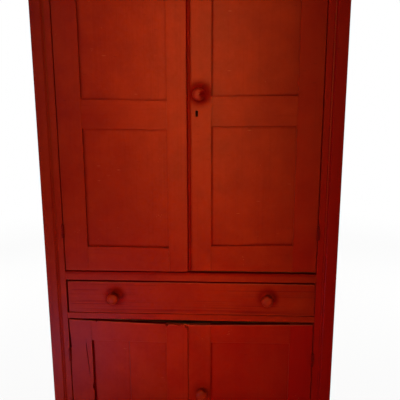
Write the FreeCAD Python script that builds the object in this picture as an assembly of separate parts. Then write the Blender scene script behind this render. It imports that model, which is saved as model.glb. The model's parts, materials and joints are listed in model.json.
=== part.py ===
import FreeCAD, Part
import math
import os

# A tall painted country cupboard (pie safe): two pairs of panelled doors with a
# drawer between them. Millimetres, +Z up, the front faces -Y, and the origin is
# the middle of the whole outline at floor level.

# Overall sizes
WIDTH = 1070.0          # over the face frame
DEPTH = 460.0           # face of the frame to the rear of the back boards
CORNICE_OUT = 52.0      # how far the cornice stands out all round
CASE_TOP = 2100.0       # upper ends of the sides and stiles
TOP_T = 20.0            # thickness of the top board
HALF = WIDTH / 2.0
FACE = -(DEPTH - CORNICE_OUT) / 2.0
REAR = FACE + DEPTH

# Stock
FRAME_T = 22.0          # face frame, doors
SIDE_T = 22.0           # plank sides
BOARD_T = 20.0          # shelves and floors
BACK_T = 14.0           # back boards
EASE = 1.2              # flat planed on exposed edges
OVER = 5.0              # how far a cutting tool runs past the wood
TOUCH = 0.01            # points nearer than this are the same

# Face frame
STILE_W = 72.0
OPEN = HALF - STILE_W   # half the width between the stiles
FOOT_Z = 80.0           # lower edge of the bottom rail
BOTTOM_Z = 143.0        # upper edge of the bottom rail
DRAWER_RAIL_Z = (699.0, 723.0)
WAIST_RAIL_Z = (853.0, 886.0)
TOP_RAIL_Z = 2030.0     # lower edge of the top rail
FRAME_TENON = 40.0
TENON_Y = (8.0, 15.0)   # tenon and panel groove, measured back from the face
SHOULDER = 5.0          # shoulder above and below a tenon
BEAD_X = 490.5          # centre of the bead run down each stile
BEAD_W = 9.0
BEAD_DEEP = 1.6         # shallow, filled by many coats of paint
BEAD_DOWN = 0.3         # top of the bead, measured back from the face
QUIRK_W = 2.5           # narrow groove on each side of the bead

# Inside of the case
DADO = 8.0              # depth of the housings in the sides
REBATE = 12.0           # rebate in the sides for the back boards
BACK_LOW = 100.0        # lower ends of the back boards
BACK_COUNT = 5
BACK_LAP = 8.0
BACK_SEAM = 0.8
UPPER_SHELVES_Z = (1240.0, 1620.0)
LOWER_SHELF_Z = 470.0
SHELF_SET_BACK = 1.0    # shelf edges stop the doors
BOOTJACK_R = 118.0      # arch cut in the foot of each side

# Cornice: height and section, given as (out, up) from its lower back corner
CORNICE_H = 75.0
CORNICE_NOSE = 7.0
CORNICE_FILLET = 9.0
COVE_OUT = 43.0
COVE_UP = 56.0
COVE_MID = (14.5, 42.5)

# Doors
GAP = 3.0               # round the doors at the hinge side
DOOR_TENON = 46.0
TONGUE = 10.0           # panel edge inside its groove
FIELD_BACK = 20.5       # back of a panel, measured from the face
FEATHER = 38.0          # width of the bevel behind a panel
UPPER_DOOR_TOP = 2027.0
UPPER_MEET = (-4.5, -0.5)
LOWER_MEET = (-7.0, -3.0)
LOWER_DOOR_LOW = 146.0
MEET_BEAD = 9.0         # bead on the right upper door's meeting edge
MEET_QUIRK = 3.0
MEET_DEEP = 3.6         # depth of that bead's quirk
LIP_OUT = 3.0           # lip along the left doors' meeting edges, which closes the gap
LIP_BACK = (10.0, 15.0)
LIP_SHORT = 2.0         # lip stops this far below the top of the door

# Rails of each door as (lower left, lower right, upper left, upper right) heights.
# The doors have sagged, so few of these edges are level.
UPPER_LEFT = {"low": 890.0, "stiles": (-373.0, -73.0), "top": (2027.0, 2027.0),
              "bottom_rail": (890.0, 890.0, 983.0, 980.0),
              "lock_rail": (1410.0, 1405.0, 1511.0, 1504.0),
              "top_rail": (1937.0, 1937.0, 2027.0, 2027.0)}
UPPER_RIGHT = {"low": 894.0, "stiles": (81.0, 375.0), "top": (2027.0, 2027.0),
               "bottom_rail": (894.0, 894.0, 988.0, 994.0),
               "lock_rail": (1416.0, 1417.0, 1517.0, 1519.0),
               "top_rail": (1937.0, 1937.0, 2027.0, 2027.0)}
LOWER_LEFT = {"low": 146.0, "stiles": (-375.0, -89.0), "top": (694.0, 678.5),
              "bottom_rail": (146.0, 146.0, 241.0, 241.0),
              "top_rail": (611.0, 608.0, 694.0, 678.5)}
LOWER_RIGHT = {"low": 146.0, "stiles": (79.0, 375.0), "top": (679.5, 690.5),
               "bottom_rail": (146.0, 146.0, 241.0, 241.0),
               "top_rail": (612.0, 614.0, 679.5, 690.5)}

# Wear in the lower left door: a split in the stile, wood lost from the edges, a
# shrunken two-board panel
SPLIT = [(-398.6, 618.0), (-394.2, 575.0), (-391.4, 530.0), (-389.0, 490.0),
         (-388.4, 441.0), (-391.6, 490.0), (-394.8, 530.0), (-398.0, 575.0)]
SPLIT_DEEP = 6.0
HINGE_EDGE_LOSS = [(-465.0, 662.0), (-460.0, 662.0), (-457.6, 636.0), (-455.4, 606.0),
                   (-453.4, 588.0), (-454.6, 579.0), (-465.0, 579.0)]
PANEL_EDGE_LOSS = [(-370.0, 436.0), (-375.0, 436.0), (-379.5, 426.0), (-381.0, 414.0),
                   (-378.0, 405.0), (-375.0, 401.0), (-370.0, 401.0)]
TOP_CHIPS = [
    [(-358.0, 700.0), (-358.0, 690.4), (-354.0, 685.8), (-350.0, 688.4), (-348.0, 700.0)],
    [(-92.0, 690.0), (-92.0, 681.4), (-88.0, 676.5), (-83.5, 674.0), (-80.0, 677.5), (-78.0, 690.0)],
    [(-56.0, 690.0), (-56.0, 679.8), (-49.0, 677.2), (-38.0, 676.4), (-31.0, 677.8), (-28.0, 690.0)]]
CORNER_LOSS = [(-24.0, 690.0), (-24.0, 679.0), (-19.0, 675.5), (-13.0, 671.0),
               (-9.0, 664.5), (-7.0, 660.0), (0.0, 660.0), (0.0, 690.0)]
LOSS_DEEP = 9.0
PANEL_SEAM_X = (-232.6, -231.4)
SHRINK_TOP = 6.0
SHRINK_FOOT = 11.0
SHRINK_DEEP = 4.5

# Butt hinges
HINGE_H = 50.0
HINGE_Z = {"upper": (1040.0, 1877.0), "lower": (284.0, 552.0)}
BARREL_R = 4.5
BARREL_SIDES = 12       # eight small hinges, so their rounds are drawn with flats
PIN_R = 2.0
PIN_SIDES = 12
PIN_PLAY = 0.05
PIN_HEAD_R = 3.3
PIN_HEAD_H = 2.0
KNUCKLE = 16.5
KNUCKLE_PLAY = 0.3
LEAF_T = 1.8
LEAF_IN = 0.8           # depth a leaf is let into the wood
LEAF_W = 20.0
LEAF_CLEAR = 0.4        # plate starts this far behind the face
BARREL_CLEAR = 0.1      # between a barrel and the face
HINGE_X = OPEN - GAP / 2.0
HINGE_Y = FACE - BARREL_R - BARREL_CLEAR

# Knobs: section as (radius, distance out from the face), then the places
KNOB_TENON_R = 7.0
KNOB_NECK_R = 10.5
KNOB_CUTS = [(KNOB_NECK_R, 0.0), (KNOB_NECK_R, 10.5), (21.0, 18.0), (21.0, 26.5), (14.5, 34.0), (0.0, 34.0)]
UPPER_KNOB = (38.0, 1524.0)
LOWER_KNOB = (45.0, 408.0)
DRAWER_KNOBS = ((-283.0, 788.0), (286.0, 788.0))
SPINDLE_R = 6.0
SPINDLE_PLAY = 0.05
TANG = 8.4              # square end of the spindle, which drives the latch

# Lock on the upper right door
KEYHOLE = (30.5, 1466.5, 5.2)
KEYHOLE_SLOT = (4.8, 4.6, 1450.5)
LOCK_X = (3.0, 63.0)
LOCK_Z = (1426.0, 1498.0)
LOCK_DEEP = 14.0
LOCK_WALL = 1.8
BOLT_X = (3.0, 46.0)
BOLT_Y = (25.0, 32.0)
BOLT_Z = (1474.0, 1488.0)
BOLT_PLAY = 0.3
TALON_R = 5.0

# Wooden turn buttons behind the doors
BUTTON_CLEAR = 0.5
BUTTON_T = 12.0
BUTTON_W = 24.0
UPPER_BUTTON = (-62.0, 2000.0, 46.0)
LOWER_BUTTON = (-72.0, 654.0, 58.0)
LATCH_UP = 20.0
LATCH_DOWN = 68.0

# Drawer
DRAWER_X = (-457.0, 461.0)
DRAWER_FRONT_Z = (725.0, 846.5)
DRAWER_SET_IN = 0.6
DRAWER_FRONT_T = 22.0
DRAWER_SIDE_T = 14.0
DRAWER_SIDE_Z = (723.6, 838.0)
DRAWER_BACK_T = 14.0
DRAWER_BACK_TOP = 832.0
DRAWER_BACK_IN = 5.0
DRAWER_TAIL_END = 16.0  # sides run on behind the back
DRAWER_BOTTOM_Z = (733.0, 742.0)
DRAWER_GROOVE = 6.0
DRAWER_SHY = 1.5        # gap behind the closed drawer
DRAWER_END = REAR - BACK_T - DRAWER_SHY
DOVETAIL_LAP = 6.0
DOVETAIL_Z = (749.0, 781.0, 813.0)
DOVETAIL_HALF = 9.5     # half width at the root of a tail
DOVETAIL_FLARE = 3.0
RUNNER_X = (440.0, 462.5)
RUNNER_Z = (703.0, 723.0, 762.0)

V = FreeCAD.Vector


def box(x0, x1, y0, y1, z0, z1):
    """A square block between two corners."""
    return Part.makeBox(x1 - x0, y1 - y0, z1 - z0, V(x0, y0, z0))


def slab(x0, x1, back0, back1, z0, z1):
    """A block whose depth is measured back from the face of the frame."""
    return box(x0, x1, FACE + back0, FACE + back1, z0, z1)


def outline(points):
    """A flat face from a closed run of points."""
    return Part.Face(Part.makePolygon(points + points[:1]))


def board_xz(points, back0, back1):
    """A board drawn from the front and given its thickness front to back."""
    face = outline([V(x, FACE + back0, z) for x, z in points])
    return face.extrude(V(0, back1 - back0, 0))


def mirrored(shape):
    """The same piece for the other side of the cupboard."""
    return shape.mirror(V(0, 0, 0), V(1, 0, 0))


def joined(shapes):
    """Several lumps of one piece made into a single solid."""
    whole = shapes[0]
    for shape in shapes[1:]:
        whole = whole.fuse(shape)
    return whole.removeSplitter()


def without(shape, cutters):
    """A piece with several shapes cut away."""
    for cutter in cutters:
        shape = shape.cut(cutter)
    return shape


def group(shapes):
    """Separate solids that share one name."""
    return Part.makeCompound(shapes)


def eased(shape, back, upright, level):
    """Plane a small flat along the edges that lie at one depth."""
    picked = []
    for edge in shape.Edges:
        a = edge.Vertexes[0].Point
        b = edge.Vertexes[-1].Point
        at_depth = abs(a.y - FACE - back) < TOUCH and abs(b.y - FACE - back) < TOUCH
        is_upright = abs(a.z - b.z) > abs(a.x - b.x)
        if at_depth and (upright if is_upright else level):
            picked.append(edge)
    return shape.makeChamfer(EASE, picked)


def bead_cut(x_mid, z0, z1):
    """The wood taken away to leave a bead between two quirks on a stile."""
    half = BEAD_W / 2.0
    left = V(x_mid - half, FACE + BEAD_DEEP, z0)
    right = V(x_mid + half, FACE + BEAD_DEEP, z0)
    crown = V(x_mid, FACE + BEAD_DOWN, z0)
    far_left = V(x_mid - half - QUIRK_W, FACE, z0)
    far_right = V(x_mid + half + QUIRK_W, FACE, z0)
    out_left = V(far_left.x, FACE - OVER, z0)
    out_right = V(far_right.x, FACE - OVER, z0)
    edges = [Part.makeLine(far_left, left), Part.Arc(left, crown, right).toShape(),
             Part.makeLine(right, far_right), Part.makeLine(far_right, out_right),
             Part.makeLine(out_right, out_left), Part.makeLine(out_left, far_left)]
    return Part.Face(Part.Wire(edges)).extrude(V(0, 0, z1 - z0))


def edge_bead_cut(x_edge, z0, z1):
    """The wood taken away to leave a bead on the corner of a door."""
    half = MEET_BEAD / 2.0
    start = V(x_edge, FACE + MEET_DEEP, z0)
    crown = V(x_edge + half, FACE + BEAD_DOWN, z0)
    end = V(x_edge + MEET_BEAD, FACE + MEET_DEEP, z0)
    lip = V(x_edge + MEET_BEAD + MEET_QUIRK, FACE, z0)
    out = V(lip.x, FACE - OVER, z0)
    out_far = V(x_edge - OVER, FACE - OVER, z0)
    far = V(x_edge - OVER, FACE + MEET_DEEP, z0)
    edges = [Part.Arc(start, crown, end).toShape(), Part.makeLine(end, lip),
             Part.makeLine(lip, out), Part.makeLine(out, out_far),
             Part.makeLine(out_far, far), Part.makeLine(far, start)]
    return Part.Face(Part.Wire(edges)).extrude(V(0, 0, z1 - z0))


def level_heights():
    """Lower faces of every board housed in the sides."""
    floors = [BOTTOM_Z - BOARD_T, WAIST_RAIL_Z[1] - BOARD_T, LOWER_SHELF_Z]
    return floors + list(UPPER_SHELVES_Z)


def side_plank():
    """Left side: one wide plank, housed for the boards, arched at the foot."""
    front = FACE + FRAME_T
    inner = -HALF + SIDE_T
    plank = box(-HALF, inner, front, REAR, 0, CASE_TOP)
    cuts = [box(inner - REBATE, inner + OVER, REAR - BACK_T, REAR + OVER, -OVER, CASE_TOP + OVER)]
    for z in level_heights():
        cuts.append(box(inner - DADO, inner + OVER, front - OVER, REAR - BACK_T, z, z + BOARD_T))
    middle = (front + REAR) / 2.0
    cuts.append(Part.makeCylinder(BOOTJACK_R, SIDE_T + 2 * OVER, V(-HALF - OVER, middle, 0), V(1, 0, 0)))
    return without(plank, cuts)


def level_board(z, set_back):
    """A floor or shelf that runs into the housings of both sides."""
    half = HALF - SIDE_T + DADO
    return box(-half, half, FACE + FRAME_T + set_back, REAR - BACK_T, z, z + BOARD_T)


def back_boards():
    """Upright lapped boards in the rebates of the sides."""
    half = HALF - SIDE_T + REBATE
    step = 2.0 * half / BACK_COUNT
    middle = REAR - BACK_T / 2.0
    boards = []
    for i in range(BACK_COUNT):
        x0 = -half + i * step
        x1 = x0 + step
        first = i == 0
        last = i == BACK_COUNT - 1
        rear1 = x1 if last else x1 - BACK_SEAM
        lap0 = x0 if first else x0 + BACK_LAP + BACK_SEAM
        lap1 = x1 if last else x1 + BACK_LAP
        z = BACK_LOW
        points = [V(x0, REAR, z), V(rear1, REAR, z), V(rear1, middle, z), V(lap1, middle, z),
                  V(lap1, REAR - BACK_T, z), V(lap0, REAR - BACK_T, z), V(lap0, middle, z),
                  V(x0, middle, z)]
        tidy = [p for k, p in enumerate(points) if p.distanceToPoint(points[k - 1]) > TOUCH]
        boards.append(outline(tidy).extrude(V(0, 0, CASE_TOP - BACK_LOW)))
    return group(boards)


def frame_tenon(z0, z1):
    """Left tenon of a rail of the face frame."""
    return slab(-OPEN - FRAME_TENON, -OPEN, *TENON_Y, z0 + SHOULDER, z1 - SHOULDER)


def frame_rails():
    """Heights of the four rails of the face frame."""
    return {"bottom_rail": (FOOT_Z, BOTTOM_Z), "drawer_rail": DRAWER_RAIL_Z,
            "waist_rail": WAIST_RAIL_Z, "top_rail": (TOP_RAIL_Z, CASE_TOP)}


def frame_rail(z0, z1):
    """A rail between the stiles with a tenon at each end."""
    rail = eased(slab(-OPEN, OPEN, 0, FRAME_T, z0, z1), 0, False, True)
    tenon = frame_tenon(z0, z1)
    return joined([rail, tenon, mirrored(tenon)])


def frame_stile():
    """Left stile: beaded, mortised for the rails, let in for the hinge leaves."""
    stile = eased(slab(-HALF, -OPEN, 0, FRAME_T, 0, CASE_TOP), 0, True, False)
    cuts = [bead_cut(-BEAD_X, -OVER, CASE_TOP + OVER)]
    cuts += [frame_tenon(*z) for z in frame_rails().values()]
    for z in HINGE_Z["upper"] + HINGE_Z["lower"]:
        cuts.append(leaf_seat(-OPEN - LEAF_IN, -OPEN + OVER, z))
    return without(stile, cuts)


def cornice_section(place):
    """Cornice outline; place() puts an (out, up) pair where it belongs."""
    nose = place(CORNICE_NOSE, 0)
    fillet = place(CORNICE_NOSE, CORNICE_FILLET)
    cove = Part.Arc(fillet, place(*COVE_MID), place(COVE_OUT, COVE_UP)).toShape()
    run = [place(COVE_OUT, COVE_UP), place(CORNICE_OUT, COVE_UP), place(CORNICE_OUT, CORNICE_H),
           place(0, CORNICE_H), place(0, 0), nose, fillet]
    return Part.Face(Part.Wire([cove] + [Part.makeLine(a, b) for a, b in zip(run, run[1:])]))


def mitre_block(keep_front):
    """Everything on one side of the left front mitre."""
    z = CASE_TOP - CORNICE_H
    reach = CORNICE_OUT + OVER
    inner = V(-HALF + OVER, FACE + OVER, z)
    outer = V(-HALF - reach, FACE - reach, z)
    spare = V(-HALF - reach, FACE + OVER, z) if keep_front else V(-HALF + OVER, FACE - reach, z)
    return outline([inner, outer, spare]).extrude(V(0, 0, 2 * CORNICE_H))


def cornice_front():
    """The long front length, mitred at both ends."""
    base = CASE_TOP + TOP_T - CORNICE_H
    end = -HALF - CORNICE_OUT
    face = cornice_section(lambda out, up: V(end, FACE - out, base + up))
    length = face.extrude(V(-2 * end, 0, 0))
    waste = mitre_block(True)
    return without(length, [waste, mirrored(waste)])


def cornice_return():
    """The left return, mitred at the front and square at the back."""
    base = CASE_TOP + TOP_T - CORNICE_H
    start = FACE - CORNICE_OUT
    face = cornice_section(lambda out, up: V(-HALF - out, start, base + up))
    length = face.extrude(V(0, REAR - start, 0))
    return length.cut(mitre_block(False))


def leaf_seat(x0, x1, z):
    """Shallow recess for a hinge leaf, open to the front."""
    return slab(x0, x1, -OVER, LEAF_W, z - HINGE_H / 2.0, z + HINGE_H / 2.0)


def bar(radius, sides, z0, z1):
    """A many-sided bar along the left hinge axis, its corners at the radius."""
    turns = [2.0 * math.pi * i / sides for i in range(sides)]
    points = [V(-HINGE_X + radius * math.cos(a), HINGE_Y + radius * math.sin(a), z0) for a in turns]
    return outline(points).extrude(V(0, 0, z1 - z0))


def leaf_plate(x0, z, tabs):
    """A leaf with tabs forward to its knuckles."""
    x1 = x0 + LEAF_T
    plate = slab(x0, x1, LEAF_CLEAR, LEAF_W, z - HINGE_H / 2.0, z + HINGE_H / 2.0)
    lumps = [plate]
    for z0, z1 in tabs:
        lumps.append(box(x0, x1, HINGE_Y, FACE + LEAF_CLEAR, z0, z1))
        lumps.append(bar(BARREL_R, BARREL_SIDES, z0, z1))
    return joined(lumps)


def frame_leaf(z):
    """Leaf on the left stile, with the two outer knuckles."""
    low, high = z - HINGE_H / 2.0, z + HINGE_H / 2.0
    tabs = [(low, low + KNUCKLE), (high - KNUCKLE, high)]
    return leaf_plate(-OPEN - LEAF_IN, z, tabs).cut(bar(PIN_R, PIN_SIDES, low - OVER, high + OVER))


def door_leaf(z):
    """Leaf on a left door, with the middle knuckle running on the pin."""
    half = HINGE_H / 2.0 - KNUCKLE - KNUCKLE_PLAY
    x0 = -OPEN + GAP + LEAF_IN - LEAF_T
    flats_clear = (PIN_R + PIN_PLAY) / math.cos(math.pi / PIN_SIDES)
    bore = bar(flats_clear, PIN_SIDES, z - HINGE_H, z + HINGE_H)
    return leaf_plate(x0, z, [(z - half, z + half)]).cut(bore)


def hinge_pin(z):
    """Headed pin, fast in the outer knuckles."""
    high = z + HINGE_H / 2.0
    head = bar(PIN_HEAD_R, PIN_SIDES, high, high + PIN_HEAD_H)
    return joined([bar(PIN_R, PIN_SIDES, z - HINGE_H / 2.0, high), head])


def knob(place, back, bore_r):
    """A turned knob with the part that passes through the wood behind it."""
    x, z = place
    shank = [(0.0, -back), (bore_r, -back), (bore_r, 0.0)]
    half = outline([V(x + r, FACE - out, z) for r, out in shank + KNOB_CUTS])
    return half.revolve(V(x, 0, z), V(0, 1, 0), 360)


def hole(place, radius, back):
    """A round hole bored in from the face."""
    x, z = place
    return Part.makeCylinder(radius, back + OVER, V(x, FACE - OVER, z), V(0, 1, 0))


def panel(x0, x1, below, above):
    """A panel flat in front, feathered behind to a tongue all round."""
    low, high = min(below), max(above)
    tongue = slab(x0 - TONGUE, x1 + TONGUE, *TENON_Y, low - TONGUE, high + TONGUE)
    a0, a1 = x0 + EASE, x1 - EASE
    b0, b1 = max(below) + EASE, min(above) - EASE
    field = Part.makeWedge(a0, FACE + TENON_Y[1], b0, b0 + FEATHER, a0 + FEATHER,
                           a1, FACE + FIELD_BACK, b1, b1 - FEATHER, a1 - FEATHER)
    return joined([tongue, field])


def door_tenons(x0, x1, rail):
    """Both tenons of a door rail."""
    low = max(rail[0], rail[1]) + SHOULDER + TONGUE
    high = min(rail[2], rail[3]) - SHOULDER - TONGUE
    return [slab(x0 - DOOR_TENON, x0, *TENON_Y, low, high),
            slab(x1, x1 + DOOR_TENON, *TENON_Y, low, high)]


def door_rail(x0, x1, rail):
    """A rail between the stiles of a door, tenoned at both ends."""
    corners = [(x0, rail[0]), (x1, rail[1]), (x1, rail[3]), (x0, rail[2])]
    body = eased(board_xz(corners, 0, FRAME_T), 0, False, True)
    return joined([body] + door_tenons(x0, x1, rail))


def door(spec, x_left, x_right):
    """Stiles, rails and panels of one door, fitted to each other."""
    x0, x1 = spec["stiles"]
    names = [n for n in ("bottom_rail", "lock_rail", "top_rail") if n in spec]
    slope = (spec["top"][1] - spec["top"][0]) / (x_right - x_left)
    top_at = [spec["top"][0] + slope * (x - x_left) for x in (x_left, x0, x1, x_right)]
    low = spec["low"]
    rails = {}
    for name in names:
        heights = spec[name]
        if name == "top_rail":
            heights = heights[:2] + (top_at[1], top_at[2])
        rails[name] = heights
    panels = []
    for below, above in zip(names, names[1:]):
        panels.append(panel(x0, x1, rails[below][2:], rails[above][:2]))
    tenons = [door_tenons(x0, x1, rails[name]) for name in names]
    left = [(x_left, low), (x0, low), (x0, top_at[1]), (x_left, top_at[0])]
    right = [(x1, low), (x_right, low), (x_right, top_at[3]), (x1, top_at[2])]
    left_stile = eased(board_xz(left, 0, FRAME_T), 0, True, True)
    right_stile = eased(board_xz(right, 0, FRAME_T), 0, True, True)
    pieces = {"left_stile": without(left_stile, [t[0] for t in tenons] + panels),
              "right_stile": without(right_stile, [t[1] for t in tenons] + panels),
              "panels": panels}
    for name in names:
        pieces[name] = without(door_rail(x0, x1, rails[name]), panels)
    return pieces


def keyhole():
    """Keyhole through the meeting stile."""
    x, z, radius = KEYHOLE
    top_half, foot_half, foot = KEYHOLE_SLOT
    slot = board_xz([(x - top_half, z), (x - foot_half, foot), (x + foot_half, foot), (x + top_half, z)],
                    -OVER, FRAME_T + OVER)
    return slot.fuse(hole((x, z), radius, FRAME_T + OVER))


def lock_case():
    """Iron case of the rim lock, open towards the door, slotted for the bolt."""
    w = LOCK_WALL
    back = FRAME_T + LOCK_DEEP
    shell = slab(LOCK_X[0], LOCK_X[1], FRAME_T, back, LOCK_Z[0], LOCK_Z[1])
    room = slab(LOCK_X[0] + w, LOCK_X[1] - w, FRAME_T - OVER, back - w, LOCK_Z[0] + w, LOCK_Z[1] - w)
    p = BOLT_PLAY
    slot = slab(LOCK_X[0] - OVER, LOCK_X[0] + OVER, BOLT_Y[0] - p, BOLT_Y[1] + p,
                BOLT_Z[0] - p, BOLT_Z[1] + p)
    return without(eased(shell, back, True, True), [room, slot])


def lock_bolt():
    """Sliding bolt with the round notch the key turns in."""
    bolt = slab(BOLT_X[0], BOLT_X[1], *BOLT_Y, *BOLT_Z)
    start = V(KEYHOLE[0], FACE + BOLT_Y[0] - OVER, BOLT_Z[0])
    talon = Part.makeCylinder(TALON_R, BOLT_Y[1] - BOLT_Y[0] + 2 * OVER, start, V(0, 1, 0))
    return bolt.cut(talon)


def button(x0, x1, z0, z1):
    """A wooden turn button lying behind a door."""
    back = FRAME_T + BUTTON_CLEAR + BUTTON_T
    block = slab(x0, x1, FRAME_T + BUTTON_CLEAR, back, z0, z1)
    return eased(block, back, True, True)


def dovetails(x0, x1):
    """Tails on the front end of a drawer side."""
    root = FACE + DRAWER_SET_IN + DRAWER_FRONT_T
    tip = FACE + DRAWER_SET_IN + DOVETAIL_LAP
    wide = DOVETAIL_HALF + DOVETAIL_FLARE
    tails = []
    for z in DOVETAIL_Z:
        points = [V(x0, root, z - DOVETAIL_HALF), V(x0, root, z + DOVETAIL_HALF),
                  V(x0, tip, z + wide), V(x0, tip, z - wide)]
        tails.append(outline(points).extrude(V(x1 - x0, 0, 0)))
    return tails


def drawer():
    """Drawer front, sides, back and bottom, dovetailed and grooved."""
    left, right = DRAWER_X
    t = DRAWER_SIDE_T
    root = FACE + DRAWER_SET_IN + DRAWER_FRONT_T
    back_y = (DRAWER_END - DRAWER_TAIL_END - DRAWER_BACK_T, DRAWER_END - DRAWER_TAIL_END)
    bottom = box(left + t - DRAWER_GROOVE, right - t + DRAWER_GROOVE,
                 root - DRAWER_GROOVE, back_y[1], *DRAWER_BOTTOM_Z)
    back = box(left + t - DRAWER_BACK_IN, right - t + DRAWER_BACK_IN, back_y[0], back_y[1],
               DRAWER_BOTTOM_Z[1], DRAWER_BACK_TOP)
    front = slab(left, right, DRAWER_SET_IN, DRAWER_SET_IN + DRAWER_FRONT_T, *DRAWER_FRONT_Z)
    front = eased(front, DRAWER_SET_IN, True, True)
    tails = {"left": dovetails(left, left + t), "right": dovetails(right - t, right)}
    span = {"left": (left, left + t), "right": (right - t, right)}
    pieces = {"drawer_bottom": bottom, "drawer_back": back}
    for hand in ("left", "right"):
        plain = box(span[hand][0], span[hand][1], root, DRAWER_END, *DRAWER_SIDE_Z)
        pieces["drawer_" + hand + "_side"] = without(joined([plain] + tails[hand]), [bottom, back])
    knob_bores = [hole(place, KNOB_TENON_R, FRAME_T + OVER) for place in DRAWER_KNOBS]
    pieces["drawer_front"] = without(front, tails["left"] + tails["right"] + [bottom] + knob_bores)
    knobs = [knob(place, DRAWER_FRONT_T, KNOB_TENON_R) for place in DRAWER_KNOBS]
    pieces["drawer_knobs"] = group([set_in(shape) for shape in knobs])
    return pieces


def set_in(shape):
    """Move a piece back with the drawer front."""
    moved = shape.copy()
    moved.translate(V(0, DRAWER_SET_IN, 0))
    return moved


def drawer_runner():
    """Left runner under the drawer, stepped up to guide its side."""
    inner = -HALF + SIDE_T
    shelf, guide = -RUNNER_X[0], -RUNNER_X[1]
    low, step, high = RUNNER_Z
    y0 = FACE + FRAME_T
    points = [V(inner, y0, low), V(shelf, y0, low), V(shelf, y0, step),
              V(guide, y0, step), V(guide, y0, high), V(inner, y0, high)]
    return outline(points).extrude(V(0, REAR - BACK_T - y0, 0))


def shrunken_panel(whole):
    """The lower left panel as two boards, drawn away from the hinge stile."""
    x = LOWER_LEFT["stiles"][0]
    z0 = LOWER_LEFT["bottom_rail"][2]
    z1 = LOWER_LEFT["top_rail"][0]
    far = x - TONGUE - OVER
    strip = board_xz([(far, z0), (x + SHRINK_FOOT, z0), (x + SHRINK_TOP, z1), (far, z1)],
                     TENON_Y[0] - OVER, TENON_Y[0] + SHRINK_DEEP)
    seam = slab(*PANEL_SEAM_X, -OVER, FRAME_T + OVER, 0, CASE_TOP)
    return group(without(whole, [strip, seam]).Solids)


def door_seats(shape, zs, right):
    """Let the hinge leaves into a door's hinge stile."""
    for z in zs:
        seat = leaf_seat(-OPEN + GAP - OVER, -OPEN + GAP + LEAF_IN, z)
        shape = shape.cut(mirrored(seat) if right else seat)
    return shape


def with_lip(stile, x_edge, low, top):
    """A left door's meeting stile with a lip set back along its edge."""
    lip = slab(x_edge - OVER, x_edge + LIP_OUT, *LIP_BACK, low, top - LIP_SHORT)
    return joined([stile, lip])


def upper_left():
    """Upper left door, plain, with its turn button."""
    made = door(UPPER_LEFT, -OPEN + GAP, UPPER_MEET[0])
    meeting = with_lip(made["right_stile"], UPPER_MEET[0], UPPER_LEFT["low"], UPPER_LEFT["top"][1])
    x, z, half = UPPER_BUTTON
    parts = {"hinge_stile": door_seats(made["left_stile"], HINGE_Z["upper"], False),
             "meeting_stile": meeting, "panels": group(made["panels"]),
             "turn_button": button(x - half, x + half, z - BUTTON_W / 2.0, z + BUTTON_W / 2.0)}
    for name in ("bottom_rail", "lock_rail", "top_rail"):
        parts[name] = made[name]
    return parts


def upper_right():
    """Upper right door with beaded meeting edge, knob and lock."""
    made = door(UPPER_RIGHT, UPPER_MEET[1], OPEN - GAP)
    meeting = without(made["left_stile"], [edge_bead_cut(UPPER_MEET[1], 0, CASE_TOP), keyhole(),
                                           hole(UPPER_KNOB, KNOB_TENON_R, FRAME_T + OVER)])
    parts = {"hinge_stile": door_seats(made["right_stile"], HINGE_Z["upper"], True),
             "meeting_stile": meeting, "panels": group(made["panels"]),
             "knob": knob(UPPER_KNOB, FRAME_T, KNOB_TENON_R)}
    for name in ("bottom_rail", "lock_rail", "top_rail"):
        parts[name] = made[name]
    return parts


def lower_left():
    """Lower left door, worn, with its split stile and shrunken panel."""
    made = door(LOWER_LEFT, -OPEN + GAP, LOWER_MEET[0])
    losses = [HINGE_EDGE_LOSS, PANEL_EDGE_LOSS, CORNER_LOSS] + TOP_CHIPS
    lost = [board_xz(points, -OVER, LOSS_DEEP) for points in losses]
    split = board_xz(SPLIT, -OVER, SPLIT_DEEP)
    hinge_stile = without(made["left_stile"], lost + [split])
    meeting = with_lip(made["right_stile"], LOWER_MEET[0], LOWER_LEFT["low"], LOWER_LEFT["top"][1])
    x, z, half = LOWER_BUTTON
    return {"hinge_stile": door_seats(hinge_stile, HINGE_Z["lower"], False),
            "meeting_stile": without(meeting, lost),
            "panel": shrunken_panel(made["panels"][0]),
            "bottom_rail": made["bottom_rail"], "top_rail": without(made["top_rail"], lost),
            "turn_button": button(x - half, x + half, z - BUTTON_W / 2.0, z + BUTTON_W / 2.0)}


def lower_right():
    """Lower right door; its knob turns a button behind the other door."""
    made = door(LOWER_RIGHT, LOWER_MEET[1], OPEN - GAP)
    x, z = LOWER_KNOB
    shoulder = FRAME_T + BUTTON_CLEAR
    latch = button(x - BUTTON_W / 2.0, x + BUTTON_W / 2.0, z - LATCH_DOWN, z + LATCH_UP)
    tang = slab(x - TANG / 2.0, x + TANG / 2.0, shoulder, shoulder + BUTTON_T,
                z - TANG / 2.0, z + TANG / 2.0)
    turned = knob_clear(knob(LOWER_KNOB, shoulder, SPINDLE_R))
    bore = hole(LOWER_KNOB, SPINDLE_R + SPINDLE_PLAY, FRAME_T + OVER)
    return {"hinge_stile": door_seats(made["right_stile"], HINGE_Z["lower"], True),
            "meeting_stile": made["left_stile"].cut(bore),
            "panel": made["panels"][0],
            "bottom_rail": made["bottom_rail"], "top_rail": made["top_rail"],
            "turn_knob": joined([turned, tang]),
            "latch": latch.cut(tang)}


def knob_clear(shape):
    """A turning knob stands clear of the door by a hair."""
    x, z = LOWER_KNOB
    ring = Part.makeCylinder(KNOB_NECK_R + OVER, BUTTON_CLEAR, V(x, FACE - BUTTON_CLEAR, z), V(0, 1, 0))
    core = Part.makeCylinder(SPINDLE_R, BUTTON_CLEAR, V(x, FACE - BUTTON_CLEAR, z), V(0, 1, 0))
    return shape.cut(ring.cut(core))


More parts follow.
